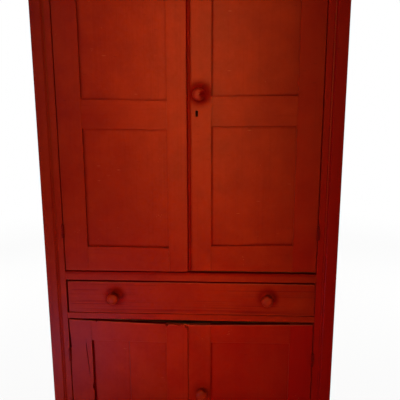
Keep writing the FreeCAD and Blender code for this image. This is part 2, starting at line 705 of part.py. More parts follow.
def build():
    """Every piece by name."""
    left_side = side_plank()
    left_stile = frame_stile()
    left_return = cornice_return()
    runner = drawer_runner()
    pieces = {
        "left_side": left_side, "right_side": mirrored(left_side),
        "left_stile": left_stile, "right_stile": mirrored(left_stile),
        "top_board": box(-HALF, HALF, FACE, REAR, CASE_TOP, CASE_TOP + TOP_T),
        "bottom_board": level_board(BOTTOM_Z - BOARD_T, 0),
        "waist_board": level_board(WAIST_RAIL_Z[1] - BOARD_T, 0),
        "lower_shelf": level_board(LOWER_SHELF_Z, SHELF_SET_BACK),
        "upper_shelf_low": level_board(UPPER_SHELVES_Z[0], SHELF_SET_BACK),
        "upper_shelf_high": level_board(UPPER_SHELVES_Z[1], SHELF_SET_BACK),
        "back_boards": back_boards(),
        "cornice_front": cornice_front(),
        "cornice_left": left_return, "cornice_right": mirrored(left_return),
        "drawer_runners": group([runner, mirrored(runner)])}
    for name, (z0, z1) in frame_rails().items():
        pieces["frame_" + name] = frame_rail(z0, z1)
    heights = HINGE_Z["upper"] + HINGE_Z["lower"]
    for name, maker in (("frame_hinge_leaves", frame_leaf), ("hinge_pins", hinge_pin)):
        made = [maker(z) for z in heights]
        pieces[name] = group(made + [mirrored(shape) for shape in made])
    doors = {"upper_left": upper_left(), "upper_right": upper_right(),
             "lower_left": lower_left(), "lower_right": lower_right()}
    for tag, parts in doors.items():
        for name, shape in parts.items():
            pieces[tag + "_" + name] = shape
        leaves = [door_leaf(z) for z in HINGE_Z[tag.split("_")[0]]]
        pieces[tag + "_hinge_leaves"] = group([mirrored(s) for s in leaves] if "right" in tag else leaves)
    pieces["lock_case"] = lock_case()
    pieces["lock_bolt"] = lock_bolt()
    pieces.update(drawer())
    return pieces


os.makedirs("parts", exist_ok=True)
for node, shape in build().items():
    shape.exportStep("parts/" + node + ".step")
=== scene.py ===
import json
import math

import bmesh
import bpy
from bpy.props import FloatProperty, FloatVectorProperty, IntProperty, PointerProperty
from mathutils import Euler, Matrix, Vector

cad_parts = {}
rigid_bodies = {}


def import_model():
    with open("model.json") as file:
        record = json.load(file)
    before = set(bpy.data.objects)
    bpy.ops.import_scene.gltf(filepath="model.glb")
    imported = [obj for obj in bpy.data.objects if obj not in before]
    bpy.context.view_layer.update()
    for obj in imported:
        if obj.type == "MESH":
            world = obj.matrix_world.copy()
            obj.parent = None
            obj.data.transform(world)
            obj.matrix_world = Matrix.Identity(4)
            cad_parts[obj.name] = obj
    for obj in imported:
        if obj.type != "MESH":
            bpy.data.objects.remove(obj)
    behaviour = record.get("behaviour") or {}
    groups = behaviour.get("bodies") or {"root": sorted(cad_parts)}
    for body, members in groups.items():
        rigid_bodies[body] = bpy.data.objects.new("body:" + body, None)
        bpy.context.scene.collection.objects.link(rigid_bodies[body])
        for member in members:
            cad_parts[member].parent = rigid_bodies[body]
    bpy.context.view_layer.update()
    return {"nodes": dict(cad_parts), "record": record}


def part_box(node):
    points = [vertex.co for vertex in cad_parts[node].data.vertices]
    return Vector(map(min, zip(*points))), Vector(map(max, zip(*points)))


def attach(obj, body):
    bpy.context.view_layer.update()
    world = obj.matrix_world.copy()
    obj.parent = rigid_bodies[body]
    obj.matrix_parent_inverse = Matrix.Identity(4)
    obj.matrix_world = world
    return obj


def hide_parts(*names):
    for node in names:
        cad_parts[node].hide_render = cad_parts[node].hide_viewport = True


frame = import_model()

bl_info = {
    "name": "Pie safe",
    "version": (1, 0, 0),
    "blender": (4, 5, 0),
    "location": "3D View > Sidebar > Pie safe",
    "description": "Paint, ironwork, turned knobs and studio for a country pie safe",
    "category": "Object",
}

# Where the cupboard's own planes lie, read from its pieces
FACE_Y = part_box("left_stile")[0].y
FRAME_BACK_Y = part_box("left_stile")[1].y
REAR_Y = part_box("back_boards")[1].y
TOP_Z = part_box("cornice_front")[1].z
SIDE_IN_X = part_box("right_side")[0].x
SIDE_OUT_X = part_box("right_side")[1].x
LOCK_BACK_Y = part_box("lock_case")[1].y

ALONG_X = (1.0, 0.0, 0.0)
ALONG_Y = (0.0, 1.0, 0.0)
ALONG_Z = (0.0, 0.0, 1.0)
WHITE = (1.0, 1.0, 1.0)
QUARTER_TURN = math.pi / 2.0
OUT_OF_REACH = 9.0

DOORS = ("upper_left", "upper_right", "lower_left", "lower_right")
LEVEL_BOARDS = ("bottom_board", "lower_shelf", "waist_board", "upper_shelf_low", "upper_shelf_high")
BACK_COUNT = 5
# Pieces whose grain runs from front to back, and words for those where it runs across
DEEP_GRAIN = ("cornice_left", "cornice_right", "drawer_runners", "drawer_left_side", "drawer_right_side")
LEVEL_GRAIN = ("rail", "board", "shelf", "drawer_front", "drawer_back", "drawer_bottom", "cornice_front",
               "button")
# How far the brush kept off an inner face or went in behind a knob, and how deep it reached on a panel
BRUSH_EDGE = 0.003
PANEL_DEPTH = 0.0137
# How near two planes, or two ends of a board, are to count as one
SAME_PLANE = 0.002
SAME_END = 0.001
# How far the row of back planks is taken to go past the boards at each side
PLANK_MARGIN = 0.001
# Thickness of the layer at the back of the lock that stays bare iron
PLATE_SKIN = 0.0002

# How much of each shows on most pieces, and on those that differ
SHOW = {
    "grain_show": (0.15, {"drawer_front": 1.0}),
    # Painted shade: the right-hand boards take a purer red, as their shaded side
    "deeper": (0.0, {"right_stile": 0.85, "right_side": 0.85, "upper_right_hinge_stile": 0.35,
                     "lower_right_hinge_stile": 0.85, "lower_right_panel": 0.45,
                     "lower_right_top_rail": 0.4, "lower_right_bottom_rail": 0.6,
                     "lower_right_meeting_stile": 0.2, "lower_left_meeting_stile": 0.2}),
    # Painted shade: how much darker red the upper knob takes
    "stain": (0.0, {"upper_right_knob": 0.45}),
    "knob_show": (0.6, {"upper_right_meeting_stile": 0.9, "upper_right_knob": 0.9, "drawer_front": 0.75,
                        "lower_right_meeting_stile": 0.4}),
    # How much less painted shadow and dirt lies close round a knob's neck
    "knob_clean": (0.0, {"drawer_front": 0.6, "lower_right_meeting_stile": 0.8}),
    "crown_show": (0.0, {"upper_right_knob": 0.15, "drawer_knobs": 0.08, "lower_right_turn_knob": 0.05}),
}
# Where the painted shade and dirt along a bead lies across the front, and how much of it shows
BEAD_AT = {"left_stile": (-0.4905, 0.6), "right_stile": (0.4905, 0.2),
           "upper_right_meeting_stile": (0.004, 0.9)}
# How much painted shade and dirt shows on a panel at its left, at its right, and along its rails
RIM_SHOW = {"upper_left": (0.45, 0.3, 0.5), "upper_right": (0.9, 0.0, 0.65),
            "lower_left": (1.2, 0.1, 0.1), "lower_right": (0.9, 0.1, 0.3)}
# Fine cracks: the left end, the right end and the height of each
CHECKS = {"drawer_front": ((-0.452, -0.315, 0.8155), (-0.457, -0.21, 0.760))}
CHECK_NAMES = ("check_a", "check_b")
# Boards whose gaps paint has filled, so that no painted shade or dirt lies in them
PAINTED_SHUT = ("right_stile", "upper_right_hinge_stile", "lower_right_hinge_stile",
                "lower_left_meeting_stile", "lower_right_meeting_stile")
# What the lamps that only show in the paint of the front leave alone
OFF_FRONT = ("left_side", "right_side", "top_board", "cornice_front", "cornice_left", "cornice_right",
             "lock_case", "lock_bolt")
# Middle and half size, across and up, of the cloud of painted shade
CLOUD_AT = (-0.15, 1.0)
CLOUD_HALF = (0.28, 0.45)
# Reach of the painted shadow and dirt round a knob, and how far up and to the right it lies
KNOB_DARK_REACH = 0.025
UPPER_KNOB_DARK_REACH = 0.027
KNOB_DARK_SHIFT = 0.004


def knob_spot(node, reach):
    """Middle of a knob or a pair, the reach of its painted shadow and dirt, and half the pair's spacing."""
    low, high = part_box(node)
    middle = (low + high) / 2.0
    half = (high.x - low.x - (high.z - low.z)) / 2.0
    return (middle.x + KNOB_DARK_SHIFT, reach, middle.z + KNOB_DARK_SHIFT), half


KNOB_AT = {"upper_right_meeting_stile": knob_spot("upper_right_knob", UPPER_KNOB_DARK_REACH),
           "drawer_front": knob_spot("drawer_knobs", KNOB_DARK_REACH),
           "lower_right_meeting_stile": knob_spot("lower_right_turn_knob", KNOB_DARK_REACH)}
NO_KNOB = ((OUT_OF_REACH, KNOB_DARK_REACH, 0.0), 0.0)


def linear(red, green, blue):
    """A colour as mixed on screen, 0 to 255, turned into light values."""
    parts = [channel / 255.0 for channel in (red, green, blue)]
    return tuple(p / 12.92 if p <= 0.04045 else ((p + 0.055) / 1.055) ** 2.4 for p in parts)


def colour(name, text, value):
    """A colour setting."""
    return FloatVectorProperty(name=name, description=text, subtype="COLOR", size=3, min=0.0, max=1.0,
                               default=linear(*value))


def length(name, text, value):
    """A size setting in metres."""
    return FloatProperty(name=name, description=text, unit="LENGTH", min=0.0, precision=5, default=value)


def share(name, text, value):
    """A setting from none to all."""
    return FloatProperty(name=name, description=text, subtype="FACTOR", min=0.0, max=1.0, default=value)


def angle(name, text, degrees):
    """An angle setting."""
    return FloatProperty(name=name, description=text, subtype="ANGLE", default=math.radians(degrees))


def wattage(name, text, watts):
    """A lamp's power setting."""
    return FloatProperty(name=name, description=text, unit="POWER", default=watts)


class PIESAFE_PaintSettings(bpy.types.PropertyGroup):
    """Oxblood paint."""
    deep: colour("Deep red", "Paint where it lies thick", (121, 11, 1))
    warm: colour("Warm red", "Paint where it has been rubbed thin", (141, 28, 4))
    # Dark red for dirt, and also for painted shade in corners, gaps, grooves and round the knobs
    grime: colour("Grime", "Dirt held in the corners", (101, 1, 0))
    # Random darker patches, and also the colour of the painted shade cloud and the darker upper knob
    bruise_and_shade: colour("Bruise", "Stained patches", (96, 5, 1))
    # Painted shade: the purer red of the boards on the shaded right side
    shaded_red: colour("Unfaded red", "Paint that the sun has not reached", (139, 3, 1))
    chip: colour("Chip", "Undercoat in small chips", (168, 84, 58))
    # Wear, and painted highlight where edges and knob crowns catch the light
    worn: colour("Worn edge", "Paint rubbed thin on the edges", (166, 58, 34))
    sheen: share("Roughness", "How dull the paint is", 0.42)
    shine: share("Shine", "How much light the paint reflects", 0.012)
    brush_depth: length("Brush marks", "Depth of the brush marks", 0.00008)
    lump_depth: length("Lumps", "Depth of the lumps in thick paint", 0.00035)
    grain_depth: length("Raised grain", "Depth of grain showing through the paint", 0.0005)
    # Width of the painted shade and dirt round a panel
    rim_width: length("Grime width", "Width of the dirt round a panel", 0.0085)
    # Half the width of the painted shade and dirt along the frame's bead
    bead_width: length("Bead grime", "Half the width of the dirt along the frame's bead", 0.0105)


class PIESAFE_PineSettings(bpy.types.PropertyGroup):
    """Bare pine."""
    early: colour("Early wood", "Pale part of each ring", (164, 122, 80))
    late: colour("Late wood", "Dark part of each ring", (112, 72, 40))
    age: colour("Age", "Dirt and age on the surface", (88, 62, 42))
    knot: colour("Knot", "Knots, and dirt in the seams", (58, 34, 20))
    # Hand dirt, and painted shade, on the front edges of the bare boards
    handled_and_shade: colour("Handled", "Front edges blackened by hands", (52, 30, 20))
    shine: share("Shine", "How much light the wood reflects", 0.2)
    ring_depth: length("Ring depth", "Depth of the raised rings", 0.0003)
    saw_depth: length("Saw marks", "Depth of the saw marks", 0.00012)


class PIESAFE_IronSettings(bpy.types.PropertyGroup):
    """Old iron."""
    iron: colour("Iron", "Dull dark iron", (52, 46, 43))
    rust: colour("Rust", "Rust in the hollows", (84, 46, 28))
    # Grease, and painted shade where the lock is seen through the keyhole
    grease: colour("Grease", "Old grease in the lock, all but on its back plate", (34, 3, 2))
    shine: share("Shine", "How much light the rust reflects", 0.012)
    pit_depth: length("Pits", "Depth of the rust pits", 0.0002)


class PIESAFE_FittingSettings(bpy.types.PropertyGroup):
    """Turned knobs, hinges, screws and nails."""
    knob_sides: IntProperty(name="Knob sides", description="Steps round a knob", min=12, max=96, default=48)
    knob_neck: length("Knob neck", "Radius of the neck", 0.0098)
    knob_foot: length("Knob foot", "Radius where the knob meets the wood", 0.0118)
    barrel: length("Hinge barrel", "Radius of the hinge knuckles", 0.0045)
    leaf: length("Hinge leaf", "Thickness of a hinge leaf", 0.0018)
    screw: length("Hinge screw", "Radius of a hinge's screw heads", 0.0036)
    lock_screw: length("Lock screw", "Radius of the lock's screw heads", 0.0040)
    button_screw: length("Button screw", "Radius of the screw head on a turn button", 0.0055)
    nail: length("Nail head", "Half the length of a cut nail's head", 0.0032)


class PIESAFE_StudioSettings(bpy.types.PropertyGroup):
    """Camera, lamps and floor."""
    camera: FloatVectorProperty(name="Camera", description="Where the camera stands", subtype="TRANSLATION",
                                size=3, default=(0.1149, -1.7221, 1.426))
    tilt: angle("Tilt", "Camera tilt below level", 9.98)
    turn: angle("Turn", "Camera turn to the left", 2.76)
    roll: angle("Roll", "Camera roll to the right", 0.16)
    lens: FloatProperty(name="Lens", description="Focal length on a 36 mm frame", unit="CAMERA",
                        default=38.97)
    window_power: wattage("Window", "Cool light from the left", 20.0)
    glow_power: wattage("Floor glow", "Cool light thrown up from the floor at the left", 4.0)
    lamp_power: wattage("Lamp", "Warm light from a tall softbox over the camera", 3.05)
    glow_spread: angle("Glow spread", "How wide the floor throws its light", 100.0)
    lamp_spread: angle("Lamp spread", "How wide the softbox throws its light", 38.0)
    gleam_power: wattage("Gleam", "Softbox as it shows in the satin paint", 165.0)
    haze_power: wattage("Haze", "Lit floor as it shows low in the paint", 47.0)
    pane_power: wattage("Pane", "Window as it shows at the left in the paint", 12.0)
    back_power: wattage("Back lamp", "Light on the back and sides", 60.0)
    sky: share("Sky", "Light from all round", 0.24)
    window: colour("Window light", "Colour of the window light", (214, 224, 255))
    lamp: colour("Lamp light", "Colour of the lamp light", (255, 222, 156))
    gleam: colour("Gleam light", "Colour of the softbox as it shows in the paint", (255, 238, 124))
    haze: colour("Haze light", "Colour of the lit floor and the window as they show in the paint",
                 (178, 180, 255))
    floor: colour("Floor", "Pale floor", (240, 239, 236))


class PIESAFE_Settings(bpy.types.PropertyGroup):
    """All settings of the pie safe."""
    paint: PointerProperty(type=PIESAFE_PaintSettings)
    pine: PointerProperty(type=PIESAFE_PineSettings)
    iron: PointerProperty(type=PIESAFE_IronSettings)
    fitting: PointerProperty(type=PIESAFE_FittingSettings)
    studio: PointerProperty(type=PIESAFE_StudioSettings)


class Value:
    """A shader value that Python's operators work on."""

    def __init__(self, finish, socket):
        self.finish = finish
        self.socket = socket

    def math(self, operation, other=0.0):
        return self.finish.math(operation, self, other)

    def __add__(self, other):
        return self.math("ADD", other)

    def __sub__(self, other):
        return self.math("SUBTRACT", other)

    def __rsub__(self, other):
        return self.finish.math("SUBTRACT", other, self)

    def __mul__(self, other):
        return self.math("MULTIPLY", other)

    def __truediv__(self, other):
        return self.math("DIVIDE", other)

    def __rtruediv__(self, other):
        return self.finish.math("DIVIDE", other, self)

    __radd__ = __add__
    __rmul__ = __mul__

    def __abs__(self):
        return self.math("ABSOLUTE")

    def least(self, other):
        return self.math("MINIMUM", other)

    def most(self, *others):
        """The largest of this value and others."""
        found = self
        for other in others:
            found = found.math("MAXIMUM", other)
        return found

    def away(self, up):
        """How far off a point is that lies this far across and so far up."""
        return (self * self + up * up).math("SQRT")

    def step(self, low, high):
        """0 below low, 1 above high, and smooth between them."""
        return self.finish.add("ShaderNodeMapRange", {"interpolation_type": "SMOOTHSTEP"},
                               {"Value": self, "From Min": low, "From Max": high})

    def ridge(self, width, middle=0.0):
        """1 where the value passes its middle, falling to 0 a width away."""
        return 1.0 - abs(self - middle).step(0.0, width)


class Finish:
    """A shader tree built one node at a time."""

    def __init__(self, tree):
        self.tree = tree
        tree.nodes.clear()

    def add(self, kind, settings, values, out=0):
        """Any node: its settings first, then the values or links of its sockets."""
        node = self.tree.nodes.new(kind)
        for name, value in settings.items():
            setattr(node, name, value)
        for name, value in values.items():
            self.feed(node.inputs[name], value)
        return Value(self, node.outputs[out]) if node.outputs else None

    def feed(self, socket, value):
        """Set a socket, or link it."""
        if isinstance(value, Value):
            self.tree.links.new(value.socket, socket)
        elif socket.type == "RGBA":
            socket.default_value = (*value[:3], 1.0)
        else:
            socket.default_value = value

    def math(self, operation, first, second):
        return self.add("ShaderNodeMath", {"operation": operation}, {0: first, 1: second})

    def vector(self, operation, first, second, third=(0.0, 0.0, 0.0)):
        return self.add("ShaderNodeVectorMath", {"operation": operation}, {0: first, 1: second, 2: third})

    def place(self):
        return self.add("ShaderNodeTexCoord", {}, {}, "Object")

    def attribute(self, name, out="Vector"):
        """What each piece carries for itself under a name."""
        settings = {"attribute_type": "OBJECT", "attribute_name": name}
        return self.add("ShaderNodeAttribute", settings, {}, out)

    def own(self, name):
        """A number that each piece carries for itself."""
        return self.attribute(name, "Fac")

    def own_parts(self, name):
        """Three numbers that each piece carries for itself."""
        return self.parts(self.attribute(name))

    def parts(self, vector):
        """A vector's three numbers."""
        node = self.add("ShaderNodeSeparateXYZ", {}, {0: vector}).socket.node
        return [Value(self, socket) for socket in node.outputs]

    def noise(self, vector, scale, detail=3.0, rough=0.5, twist=0.0):
        return self.add("ShaderNodeTexNoise", {}, {"Vector": vector, "Scale": scale, "Detail": detail,
                                                   "Roughness": rough, "Distortion": twist})

    def cells(self, vector, out="Distance"):
        return self.add("ShaderNodeTexVoronoi", {"feature": "F1"}, {"Vector": vector, "Scale": 1.0}, out)

    def mix(self, amount, first, second):
        """Two colours mixed."""
        return self.add("ShaderNodeMix", {"data_type": "RGBA"}, {0: amount, 6: first, 7: second}, 2)

    def bump(self, height, depth, below=None):
        values = {"Height": height, "Distance": depth}
        if below is not None:
            values["Normal"] = below
        return self.add("ShaderNodeBump", {}, values)


class Material(Finish):
    """A material with one principled shader, and whatever is laid over it."""

    def __init__(self, name):
        self.material = bpy.data.materials.new(name)
        self.material.use_nodes = True
        super().__init__(self.material.node_tree)
        self.surface = self.add("ShaderNodeBsdfPrincipled", {}, {})
        self.sockets = self.surface.socket.node.inputs

    def set(self, **values):
        """Set or link the principled shader's sockets."""
        for name, value in values.items():
            self.feed(self.sockets[name.replace("_", " ")], value)

    def cover(self, amount, layer):
        """Lay another shader over what is there."""
        self.surface = self.add("ShaderNodeMixShader", {}, {0: amount, 1: self.surface, 2: layer})

    def done(self):
        self.add("ShaderNodeOutputMaterial", {}, {"Surface": self.surface})
        return self.material


class Board:
    """Where a point lies on a board: its place, and the run of its grain."""

    plank_change = 5.7
    board_change = (3.1, 1.7, 2.3)

    def __init__(self, finish):
        self.finish = finish
        self.place = finish.place()
        self.x, self.y, self.z = finish.parts(self.place)
        self.grain = finish.attribute("grain")
        first, per_metre, has_seams = finish.own_parts("planks")
        across = (self.x - first) * per_metre
        plank = across.math("FLOOR")
        self.number = finish.own("board") + plank * self.plank_change
        side = (across - plank).least(plank + 1.0 - across)
        self.seam = (1.0 - side.step(0.004, 0.022)) * has_seams
        change = finish.add("ShaderNodeVectorMath", {"operation": "SCALE"},
                            {0: self.board_change, "Scale": self.number})
        self.shifted = finish.vector("ADD", self.place, change)

    def stretched(self, across, along):
        """Coordinates drawn out along the grain."""
        scale = self.finish.vector("MULTIPLY_ADD", self.grain, (along - across,) * 3, (across,) * 3)
        return self.finish.vector("MULTIPLY", self.shifted, scale)

    def noise(self, across, along, **settings):
        """Noise drawn out along the grain."""
        return self.finish.noise(self.stretched(across, along), 1.0, **settings)

    def cloud(self, scale, **settings):
        """Noise that is the same all ways."""
        return self.finish.noise(self.shifted, scale, **settings)


def pine_wood(board, pine):
    """Colour and surface height of bare pine."""
    m = board.finish
    wander = board.noise(9.0, 0.8, detail=2.0)
    rings = board.noise(52.0, 0.55, rough=0.55, twist=0.35)
    knot = m.cells(board.stretched(10.0, 4.5))
    swerve = 1.0 - knot.step(0.0, 0.34)
    phase = rings * 9.0 + wander * 4.0 + swerve * 5.0
    late = phase.math("PINGPONG", 1.0).step(0.45, 0.98)
    core = 1.0 - knot.step(0.07, 0.13)
    fibres = board.noise(900.0, 14.0, detail=2.0, rough=0.6)
    dirt = board.cloud(6.0, detail=5.0, rough=0.6)
    tone = m.add("ShaderNodeTexWhiteNoise", {"noise_dimensions": "1D"}, {"W": board.number})
    saw = board.noise(3.0, 340.0, detail=1.0, rough=0.4)
    wood = m.mix(late * 0.8, pine.early, pine.late)
    wood = m.mix((fibres - 0.35) * 0.5, wood, pine.late)
    wood = m.mix(dirt.step(0.42, 0.78) * 0.65, wood, pine.age)
    wood = m.mix(tone * 0.45, wood, pine.age)
    wood = m.mix(core.most(board.seam) * 0.8, wood, pine.knot)
    return wood, late * 0.5 + fibres * 0.3 + saw * (pine.saw_depth / pine.ring_depth)


def panel_shade_and_dirt(board, wobble, width):
    """Painted shade and dirt in from a panel's frame and rails, most below and left, where shadow falls."""
    m = board.finish
    left_x, right_x, per_metre = m.own_parts("rim_x")
    at_left, at_right, at_rail = m.own_parts("rim_show")
    at_underside = at_rail * 0.6
    left = board.x - left_x
    along = left * per_metre

    def above(line):
        start, rise = m.own_parts(line)[:2]
        return board.z - (start + rise * along)

    def held(distance, amount):
        near = distance + wobble
        return (1.0 - near.step(width * 0.35, width * 1.25)) * near.step(-0.06, -0.05) * amount

    edges = ((left, at_left), (right_x - board.x, at_right),
             (above("rim_low"), at_rail), (0.0 - above("rim_high"), at_underside),
             (above("rim_mid_high"), at_rail), (0.0 - above("rim_mid_low"), at_underside))
    first, *others = [held(*edge) for edge in edges]
    hold = board.cloud(11.0, detail=2.0).step(0.30, 0.62)
    return first.most(*others) * (hold * 0.4 + 0.4)


def arris_distance(board):
    """Distance from the nearest long corner of a board's own box."""
    m = board.finish
    from_low = m.vector("SUBTRACT", board.place, m.attribute("box_low"))
    from_high = m.vector("SUBTRACT", m.attribute("box_high"), board.place)
    x, y, z = m.parts(m.vector("MINIMUM", from_low, from_high))
    return x.least(y).most(x.most(y).least(z))


def top_edge(board):
    """Distance from the sloping upper edge of a sagging door."""
    start, height, slope = board.finish.own_parts("top_edge")
    return abs(board.z - (height + slope * (board.x - start)))


def bead_shade_and_dirt(board, wobble, width):
    """Painted shade and dirt along a bead's groove, thicker in some places than in others."""
    m = board.finish
    across = board.x - m.own("bead_x") + wobble * 0.5
    hold = board.noise(30.0, 5.0, detail=2.0).step(0.25, 0.6)
    return across.ridge(width) * (hold * 0.35 + 0.4) * m.own("bead_show")


def gap_shade_and_dirt(board):
    """Painted shade and dirt deep in the gaps round the doors and drawer, not on the outer sides."""
    outside = abs(board.x).step(SIDE_OUT_X - 0.006, SIDE_OUT_X - 0.002)
    back = board.y - board.finish.own("face_y")
    return back.step(0.002, 0.008) * (1.0 - outside)


def top_dirt(board):
    """Dirt lying on the top of the cornice, out of sight."""
    return board.z.step(TOP_Z - 0.0008, TOP_Z - 0.0003)


def overhang_shade(board, wobble):
    """Painted shadow along the top of the rail under the upper doors, where they overhang it."""
    below = board.finish.own("shelter_z") - board.z
    return (1.0 - (below + wobble).step(0.002, 0.016)) * 0.6


def knob_shadow_and_dirt(board, wobble):
    """Painted shadow and hand dirt round a knob, with less of it close round the neck."""
    m = board.finish
    middle_x, reach, middle_z = m.own_parts("knob_at")
    across = abs(board.x - middle_x) - m.own("knob_apart")
    away = across.away(board.z - middle_z)
    off_neck = 1.0 - (1.0 - away.step(reach * 0.5, reach * 1.2)) * m.own("knob_clean")
    return (1.0 - (away + wobble * 0.5).step(reach, reach * 2.1)) * off_neck * m.own("knob_show")


def shade_cloud(board):
    """Painted shade: a soft darker cloud left of the middle and above the waist."""
    across = (board.x - CLOUD_AT[0]) / CLOUD_HALF[0]
    up = (board.z - CLOUD_AT[1]) / CLOUD_HALF[1]
    return (1.0 - across.away(up).step(0.3, 1.1)) * 0.28


def nicks(board):
    """Small nicks across the face, and a number from 0 to 1 for each."""
    m = board.finish
    spread = m.vector("MULTIPLY", board.place, (28.0, 28.0, 170.0))
    struck = 1.0 - m.cells(spread).step(0.10, 0.26)
    chance, kind = m.parts(m.cells(spread, "Color"))[:2]
    return struck * chance.step(0.945, 0.955), kind


def chips(board):
    """Flecks where the paint has come off, gathered in a few places."""
    fleck = board.finish.cells(board.stretched(150.0, 90.0))
    return (1.0 - fleck.step(0.10, 0.17)) * board.cloud(17.0, detail=2.0).step(0.66, 0.74)


def raised_grain(board):
    """Lines of grain that stand through the paint, and come and go."""
    lines = board.noise(60.0, 0.22, detail=2.0).ridge(0.045, 0.5)
    fade = board.noise(40.0, 3.0, detail=1.0).step(0.38, 0.62)
    return lines * fade * board.finish.own("grain_show")


def drying_checks(board):
    """Long fine cracks along the grain, each with its two ends and its height."""
    z = board.z + (board.noise(30.0, 4.0, detail=2.0) - 0.5) * 0.006

    def crack(name):
        start, end, height = board.finish.own_parts(name)
        inside = board.x.step(start, start + 0.02) * (1.0 - board.x.step(end - 0.06, end))
        return (z - height).ridge(0.0034) * inside

    return sum(crack(name) for name in CHECK_NAMES)


def aged_and_shaded_red(board, paint, mottle, streak):
    """Mottled, streaked red, with painted shade on the right-hand boards, a soft cloud and the upper knob.
    """
    m = board.finish
    patch = board.cloud(2.6).step(0.50, 0.80)
    red = m.mix(mottle.step(0.10, 0.92), paint.deep, paint.warm)
    # Painted shade: a purer red on the right-hand boards
    red = m.mix(m.own("deeper"), red, paint.shaded_red)
    red = m.mix(patch * 0.2, red, paint.bruise_and_shade)
    red = m.mix((streak - 0.30) * 0.22, red, paint.deep)
    # Painted shade: the soft cloud and the upper knob mixed towards a darker red
    return m.mix(shade_cloud(board).most(m.own("stain")), red, paint.bruise_and_shade)


def worn_and_highlit_red(board, paint, red, wobble):
    """Paint rubbed thin, and painted highlight, on a board's corners, a door's upper edge and knob crowns.
    """
    m = board.finish
    # Wear and painted highlight along corners, the sagging door tops and the knob crowns
    rubbed = 1.0 - (arris_distance(board) + wobble).step(0.0, 0.004)
    edge = 1.0 - (top_edge(board) + wobble * 0.5).step(0.0, 0.004)
    crown = 1.0 - (board.y - m.own("crown_y")).step(0.001, 0.012)
    red = m.mix(rubbed * 0.3, red, paint.warm)
    red = m.mix(edge * 0.5, red, paint.worn)
    return m.mix(crown * m.own("crown_show"), red, paint.worn)


def oxblood_paint(name, paint, pine, is_panel):
    """Old satin paint: brush marks, dirt, chips, painted shade and highlights; bare wood the brush missed.
    """
    m = Material(name)
    board = Board(m)
    mottle = board.cloud(9.0, detail=6.0, rough=0.62)
    streak = board.noise(520.0, 10.0, rough=0.6)
    lump = board.noise(130.0, 46.0)
    wobble = (board.cloud(38.0, rough=0.6) - 0.5) * 0.006
    line = raised_grain(board).most(drying_checks(board))
    red = m.mix(line * 0.75, aged_and_shaded_red(board, paint, mottle, streak), paint.grime)
    if is_panel:
        # Painted shade and dirt round the panel
        dirt = panel_shade_and_dirt(board, wobble, paint.rim_width)
    else:
        red = worn_and_highlit_red(board, paint, red, wobble)
        # Painted shade and dirt by the bead, knobs, gaps and rail overhang, and dust on the cornice top
        dirt = bead_shade_and_dirt(board, wobble, paint.bead_width).most(
            knob_shadow_and_dirt(board, wobble), gap_shade_and_dirt(board), top_dirt(board), overhang_shade(board, wobble))
    chip = chips(board)
    nick, kind = nicks(board)
    pale = kind.step(0.45, 0.55)
    red = m.mix(chip * 0.8, red, paint.chip)
    red = m.mix(nick * pale * 0.3, red, paint.chip)
    red = m.mix(nick * (1.0 - pale) * 0.5, red, paint.grime)
    wood, wood_height = pine_wood(board, pine)
    along = m.add("ShaderNodeVectorMath", {"operation": "DOT_PRODUCT"},
                  {0: board.place, 1: m.attribute("bare_way")}, "Value")
    bare = (along - m.own("bare_at") + wobble * 0.5).step(-0.0004, 0.0004)
    painted = 1.0 - bare
    dull = paint.sheen + (mottle - 0.5) * 0.22 + (streak - 0.5) * 0.16
    normal = m.bump(lump * painted, paint.lump_depth)
    normal = m.bump((streak - chip * 1.5 - nick * 2.0) * painted, paint.brush_depth, normal)
    normal = m.bump((0.0 - line) * painted, paint.grain_depth, normal)
    normal = m.bump(wood_height * bare, pine.ring_depth, normal)
    m.set(Base_Color=m.mix(bare, red, wood), Roughness=dull + (0.78 - dull) * bare, Normal=normal,
          Specular_IOR_Level=paint.shine)
    # Painted shade and dirt laid over the paint in its dark red
    m.cover(dirt * painted, m.add("ShaderNodeBsdfDiffuse", {}, {"Color": paint.grime, "Normal": normal}))
    return m.done()


def bare_pine(pine):
    """Unpainted boards darkened by age, and on their front edges by hand dirt and painted shade."""
    m = Material("aged_pine")
    board = Board(m)
    wood, height = pine_wood(board, pine)
    dust = board.cloud(24.0, detail=4.0, rough=0.6)
    front = board.y - m.own_parts("box_low")[1]
    # Hand dirt and painted shade along the front edges
    handled_and_shade = 1.0 - (front + (dust - 0.5) * 0.02).step(0.0, 0.022)
    m.set(Base_Color=m.mix(handled_and_shade * 0.85, wood, pine.handled_and_shade), Roughness=0.62 + dust * 0.25,
          Normal=m.bump(height, pine.ring_depth), Specular_IOR_Level=pine.shine)
    return m.done()


def old_iron(iron, paint):
    """Dull iron with rust in its pits, painted over where it stands out from the front."""
    m = Material("rusted_iron")
    place = m.place()
    y = m.parts(place)[1]
    pit = m.noise(place, 420.0, detail=5.0, rough=0.65)
    bloom = m.noise(place, 90.0, detail=4.0, rough=0.6)
    rust = (pit * 0.5 + bloom * 0.5).step(0.46, 0.62)
    painted = (1.0 - y.step(FACE_Y - 0.0005, FACE_Y + 0.0015)) * bloom.step(0.22, 0.40)
    plate = LOCK_BACK_Y - PLATE_SKIN
    # Painted shade and grease: dark red over the lock but for its back plate
    grease = m.own("greasy") * (1.0 - y.step(plate - PLATE_SKIN, plate))
    red = m.mix(bloom.step(0.35, 0.75), paint.grime, paint.bruise_and_shade)
    shade = m.mix(painted, m.mix(rust, iron.iron, iron.rust), red)
    m.set(Base_Color=m.mix(grease, shade, iron.grease), Roughness=0.50 + rust * 0.30,
          Metallic=(0.45 - rust * 0.35) * (1.0 - painted) * (1.0 - grease),
          Normal=m.bump(pit, iron.pit_depth), Specular_IOR_Level=iron.shine)
    return m.done()


def settings_now():
    return bpy.context.scene.pie_safe


